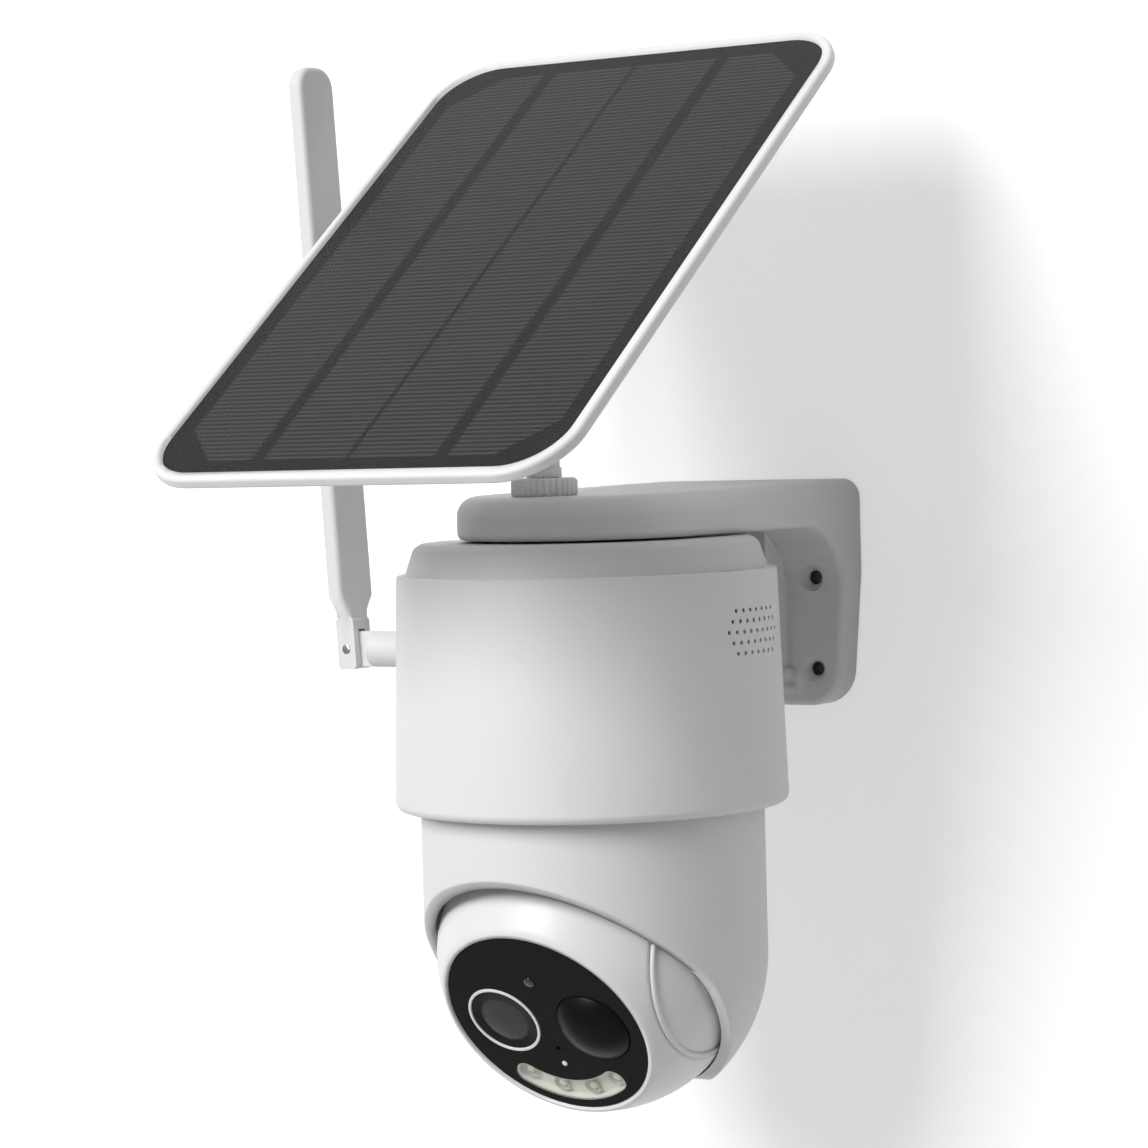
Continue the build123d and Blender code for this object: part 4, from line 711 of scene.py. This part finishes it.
def seam_beads():
    """Rounded bead that each side cap has along its seam with the middle of the ball."""
    tube, lift, aside = 0.6 * MM, 0.25 * MM, 0.5 * MM
    around, across = 120, 12
    low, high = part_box("ball_front")
    seam = (high[0] - low[0]) / 2
    low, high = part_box("side_cap_right")
    edge = Vector((seam, (high[1] - low[1]) / 2))
    out = edge.normalized()
    centre = edge + out * lift + Vector((out.y, -out.x)) * aside
    work = bmesh.new()
    for side in (-1, 1):
        rings = []
        for i in range(around):
            turn = math.tau * i / around
            spoke = Vector((0, math.cos(turn), math.sin(turn)))
            hub = HINGE["ball_tilt"] + Vector((side * centre.x, 0, 0)) + spoke * centre.y
            ring = []
            for j in range(across):
                swing = math.tau * j / across
                offset = spoke * tube * math.cos(swing) + Vector((tube * math.sin(swing), 0, 0))
                ring.append(work.verts.new(hub + offset))
            rings.append(ring)
        for i in range(around):
            for j in range(across):
                a, b = rings[i - 1], rings[i]
                work.faces.new((a[j - 1], a[j], b[j], b[j - 1]))
    bmesh.ops.recalc_face_normals(work, faces=work.faces)
    mesh = closed(work, bpy.data.meshes.new("seam_beads"))
    mesh.shade_smooth()
    piece("seam_beads", mesh, "ball", BODY_OF["side_cap_right"], SLOT_OF["side_cap_right"])


for node in frame["nodes"]:
    if node not in ("panel_screws", "panel_glass"):
        dressed(node)
panel_screws()
panel_sheet("panel_film_sheet", 1, 0.0, "film", SLOT_OF["panel_glass"], "panel_glass")
panel_sheet("cell_encapsulant", -1, 0.05 * MM, "laminate", SLOT_OF["panel_board"])
lamp_tray()
lamp_cups()
lamp_drops()
eye_drop()
seam_beads()

# Studio: white wall, pale floor, one broad soft key from the upper left
WALL_GAP = 0.4 * MM     # wall behind the bracket's back
REACH = 4.0             # wall and floor to each side
WALL_TOP = 3.0
FLOOR = -1.4


def stage_sheet(name, corners, faces, material):
    """A flat sheet of the studio, which isn't part of the object."""
    mesh = bpy.data.meshes.new(name)
    mesh.from_pydata(corners, [], faces)
    mesh.materials.append(material)
    obj = bpy.data.objects.new(name, mesh)
    bpy.context.collection.objects.link(obj)


def backdrop_paint(name, shade, glow):
    """Plain pale surface, open from its back, that keeps shadows and reads as white in the light."""
    p = Paint(name)
    mottle = p.noise(0.25, 2)
    path = p.node("LightPath", None, None, "Is Camera Ray")
    glossy = Value(p, path.socket.node.outputs["Is Glossy Ray"])
    clear = Value(p, path.socket.node.outputs["Is Transmission Ray"])
    seen = p.node("Clamp", None, {0: path + glossy + clear})
    flat = p.node("BsdfDiffuse", None, {"Color": p.mix(mottle, grey(shade), grey(shade * 1.01))}, "BSDF")
    light = p.node("Emission", None, {"Color": (1, 1, 1, 1), "Strength": seen * glow}, "Emission")
    both = p.node("AddShader", None, {0: flat, 1: light}, "Shader")
    back = p.node("NewGeometry", None, None, "Backfacing")
    open_side = p.node("BsdfTransparent", None, None, "BSDF")
    p.node_output(p.node("MixShader", None, {0: back, 1: both, 2: open_side}, "Shader"))
    return p.material


def wall_sheet():
    """The wall, open behind the bracket's plate, so that light reaches the plate's back."""
    margin, taper, cut = 1.2 * MM, 2.8 * MM, 6 * MM
    low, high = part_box("wall_bracket")
    foot, head = low[2] + margin, high[2] - margin
    top = high[0] - margin
    base = top - taper
    half = [(base - cut, foot), (base, foot + cut), (top, head - cut), (top - cut, head)]
    opening = [(-half[0][0], foot), *half, *((-x, z) for x, z in half[:0:-1])]
    outer = [(-REACH, FLOOR), (REACH, FLOOR), (REACH, WALL_TOP), (-REACH, WALL_TOP)]
    faces = []
    for here in range(len(outer)):
        there = (here + 1) % len(outer)
        near = [len(outer) + (2 * here + k) % len(opening) for k in range(3)]
        faces += [(here, there, near[1], near[0]), (there, near[2], near[1])]
    stage_sheet("wall", [(x, WALL_GAP, z) for x, z in outer + opening], faces,
                backdrop_paint("wall_white", 0.74, 0.45))


wall_sheet()
FLOOR_CORNERS = [(-REACH, -REACH), (REACH, -REACH), (REACH, WALL_GAP), (-REACH, WALL_GAP)]
stage_sheet("floor", [(x, y, FLOOR) for x, y in FLOOR_CORNERS], [(0, 1, 2, 3)],
            backdrop_paint("floor_white", 0.9, 0.1))


def softbox(name, at, aim, size, power):
    """A soft rectangular lamp that faces a point; power in watts."""
    lamp = bpy.data.lights.new(name, "AREA")
    lamp.shape = "RECTANGLE"
    lamp.size, lamp.size_y = size
    lamp.energy = power
    obj = bpy.data.objects.new(name, lamp)
    obj.location = at
    obj.rotation_euler = (Vector(aim) - Vector(at)).to_track_quat("-Z", "Y").to_euler()
    bpy.context.collection.objects.link(obj)


softbox("key", at=(-0.393, -1.44, 0.73), aim=(0, -0.07, 0), size=(0.85, 0.85), power=24)

ALL_ROUND = 0.265       # strength of the even light from all sides
world = bpy.data.worlds.new("studio")
bpy.context.scene.world = world
world.use_nodes = True
world.node_tree.nodes["Background"].inputs["Color"].default_value = (1, 1, 1, 1)
world.node_tree.nodes["Background"].inputs["Strength"].default_value = ALL_ROUND

# Camera as the photograph was taken
HEADING = math.radians(34.038)
PITCH = math.radians(2.351)
ROLL = math.radians(1.559)
STAND = Vector((445.9, -739.2, 48.1)) * MM
FOCAL_PX = 3513.5
FRAME_PX = 1148
SENSOR = 36
ahead = Vector((-math.sin(HEADING), math.cos(HEADING), 0))
level = Vector((math.cos(HEADING), math.sin(HEADING), 0))
up = Vector((0, 0, 1))
forward = ahead * math.cos(PITCH) - up * math.sin(PITCH)
upright = up * math.cos(PITCH) + ahead * math.sin(PITCH)
right = level * math.cos(ROLL) - upright * math.sin(ROLL)
above = upright * math.cos(ROLL) + level * math.sin(ROLL)
lens = bpy.data.cameras.new("photo_camera")
lens.sensor_width = SENSOR
lens.lens = FOCAL_PX / FRAME_PX * SENSOR
lens.clip_start = 0.05
camera = bpy.data.objects.new("photo_camera", lens)
turn = Matrix((right, above, -forward)).transposed()
camera.matrix_world = Matrix.Translation(STAND) @ turn.to_4x4()
bpy.context.collection.objects.link(camera)
bpy.context.scene.camera = camera
bpy.context.scene.view_settings.view_transform = "Standard"
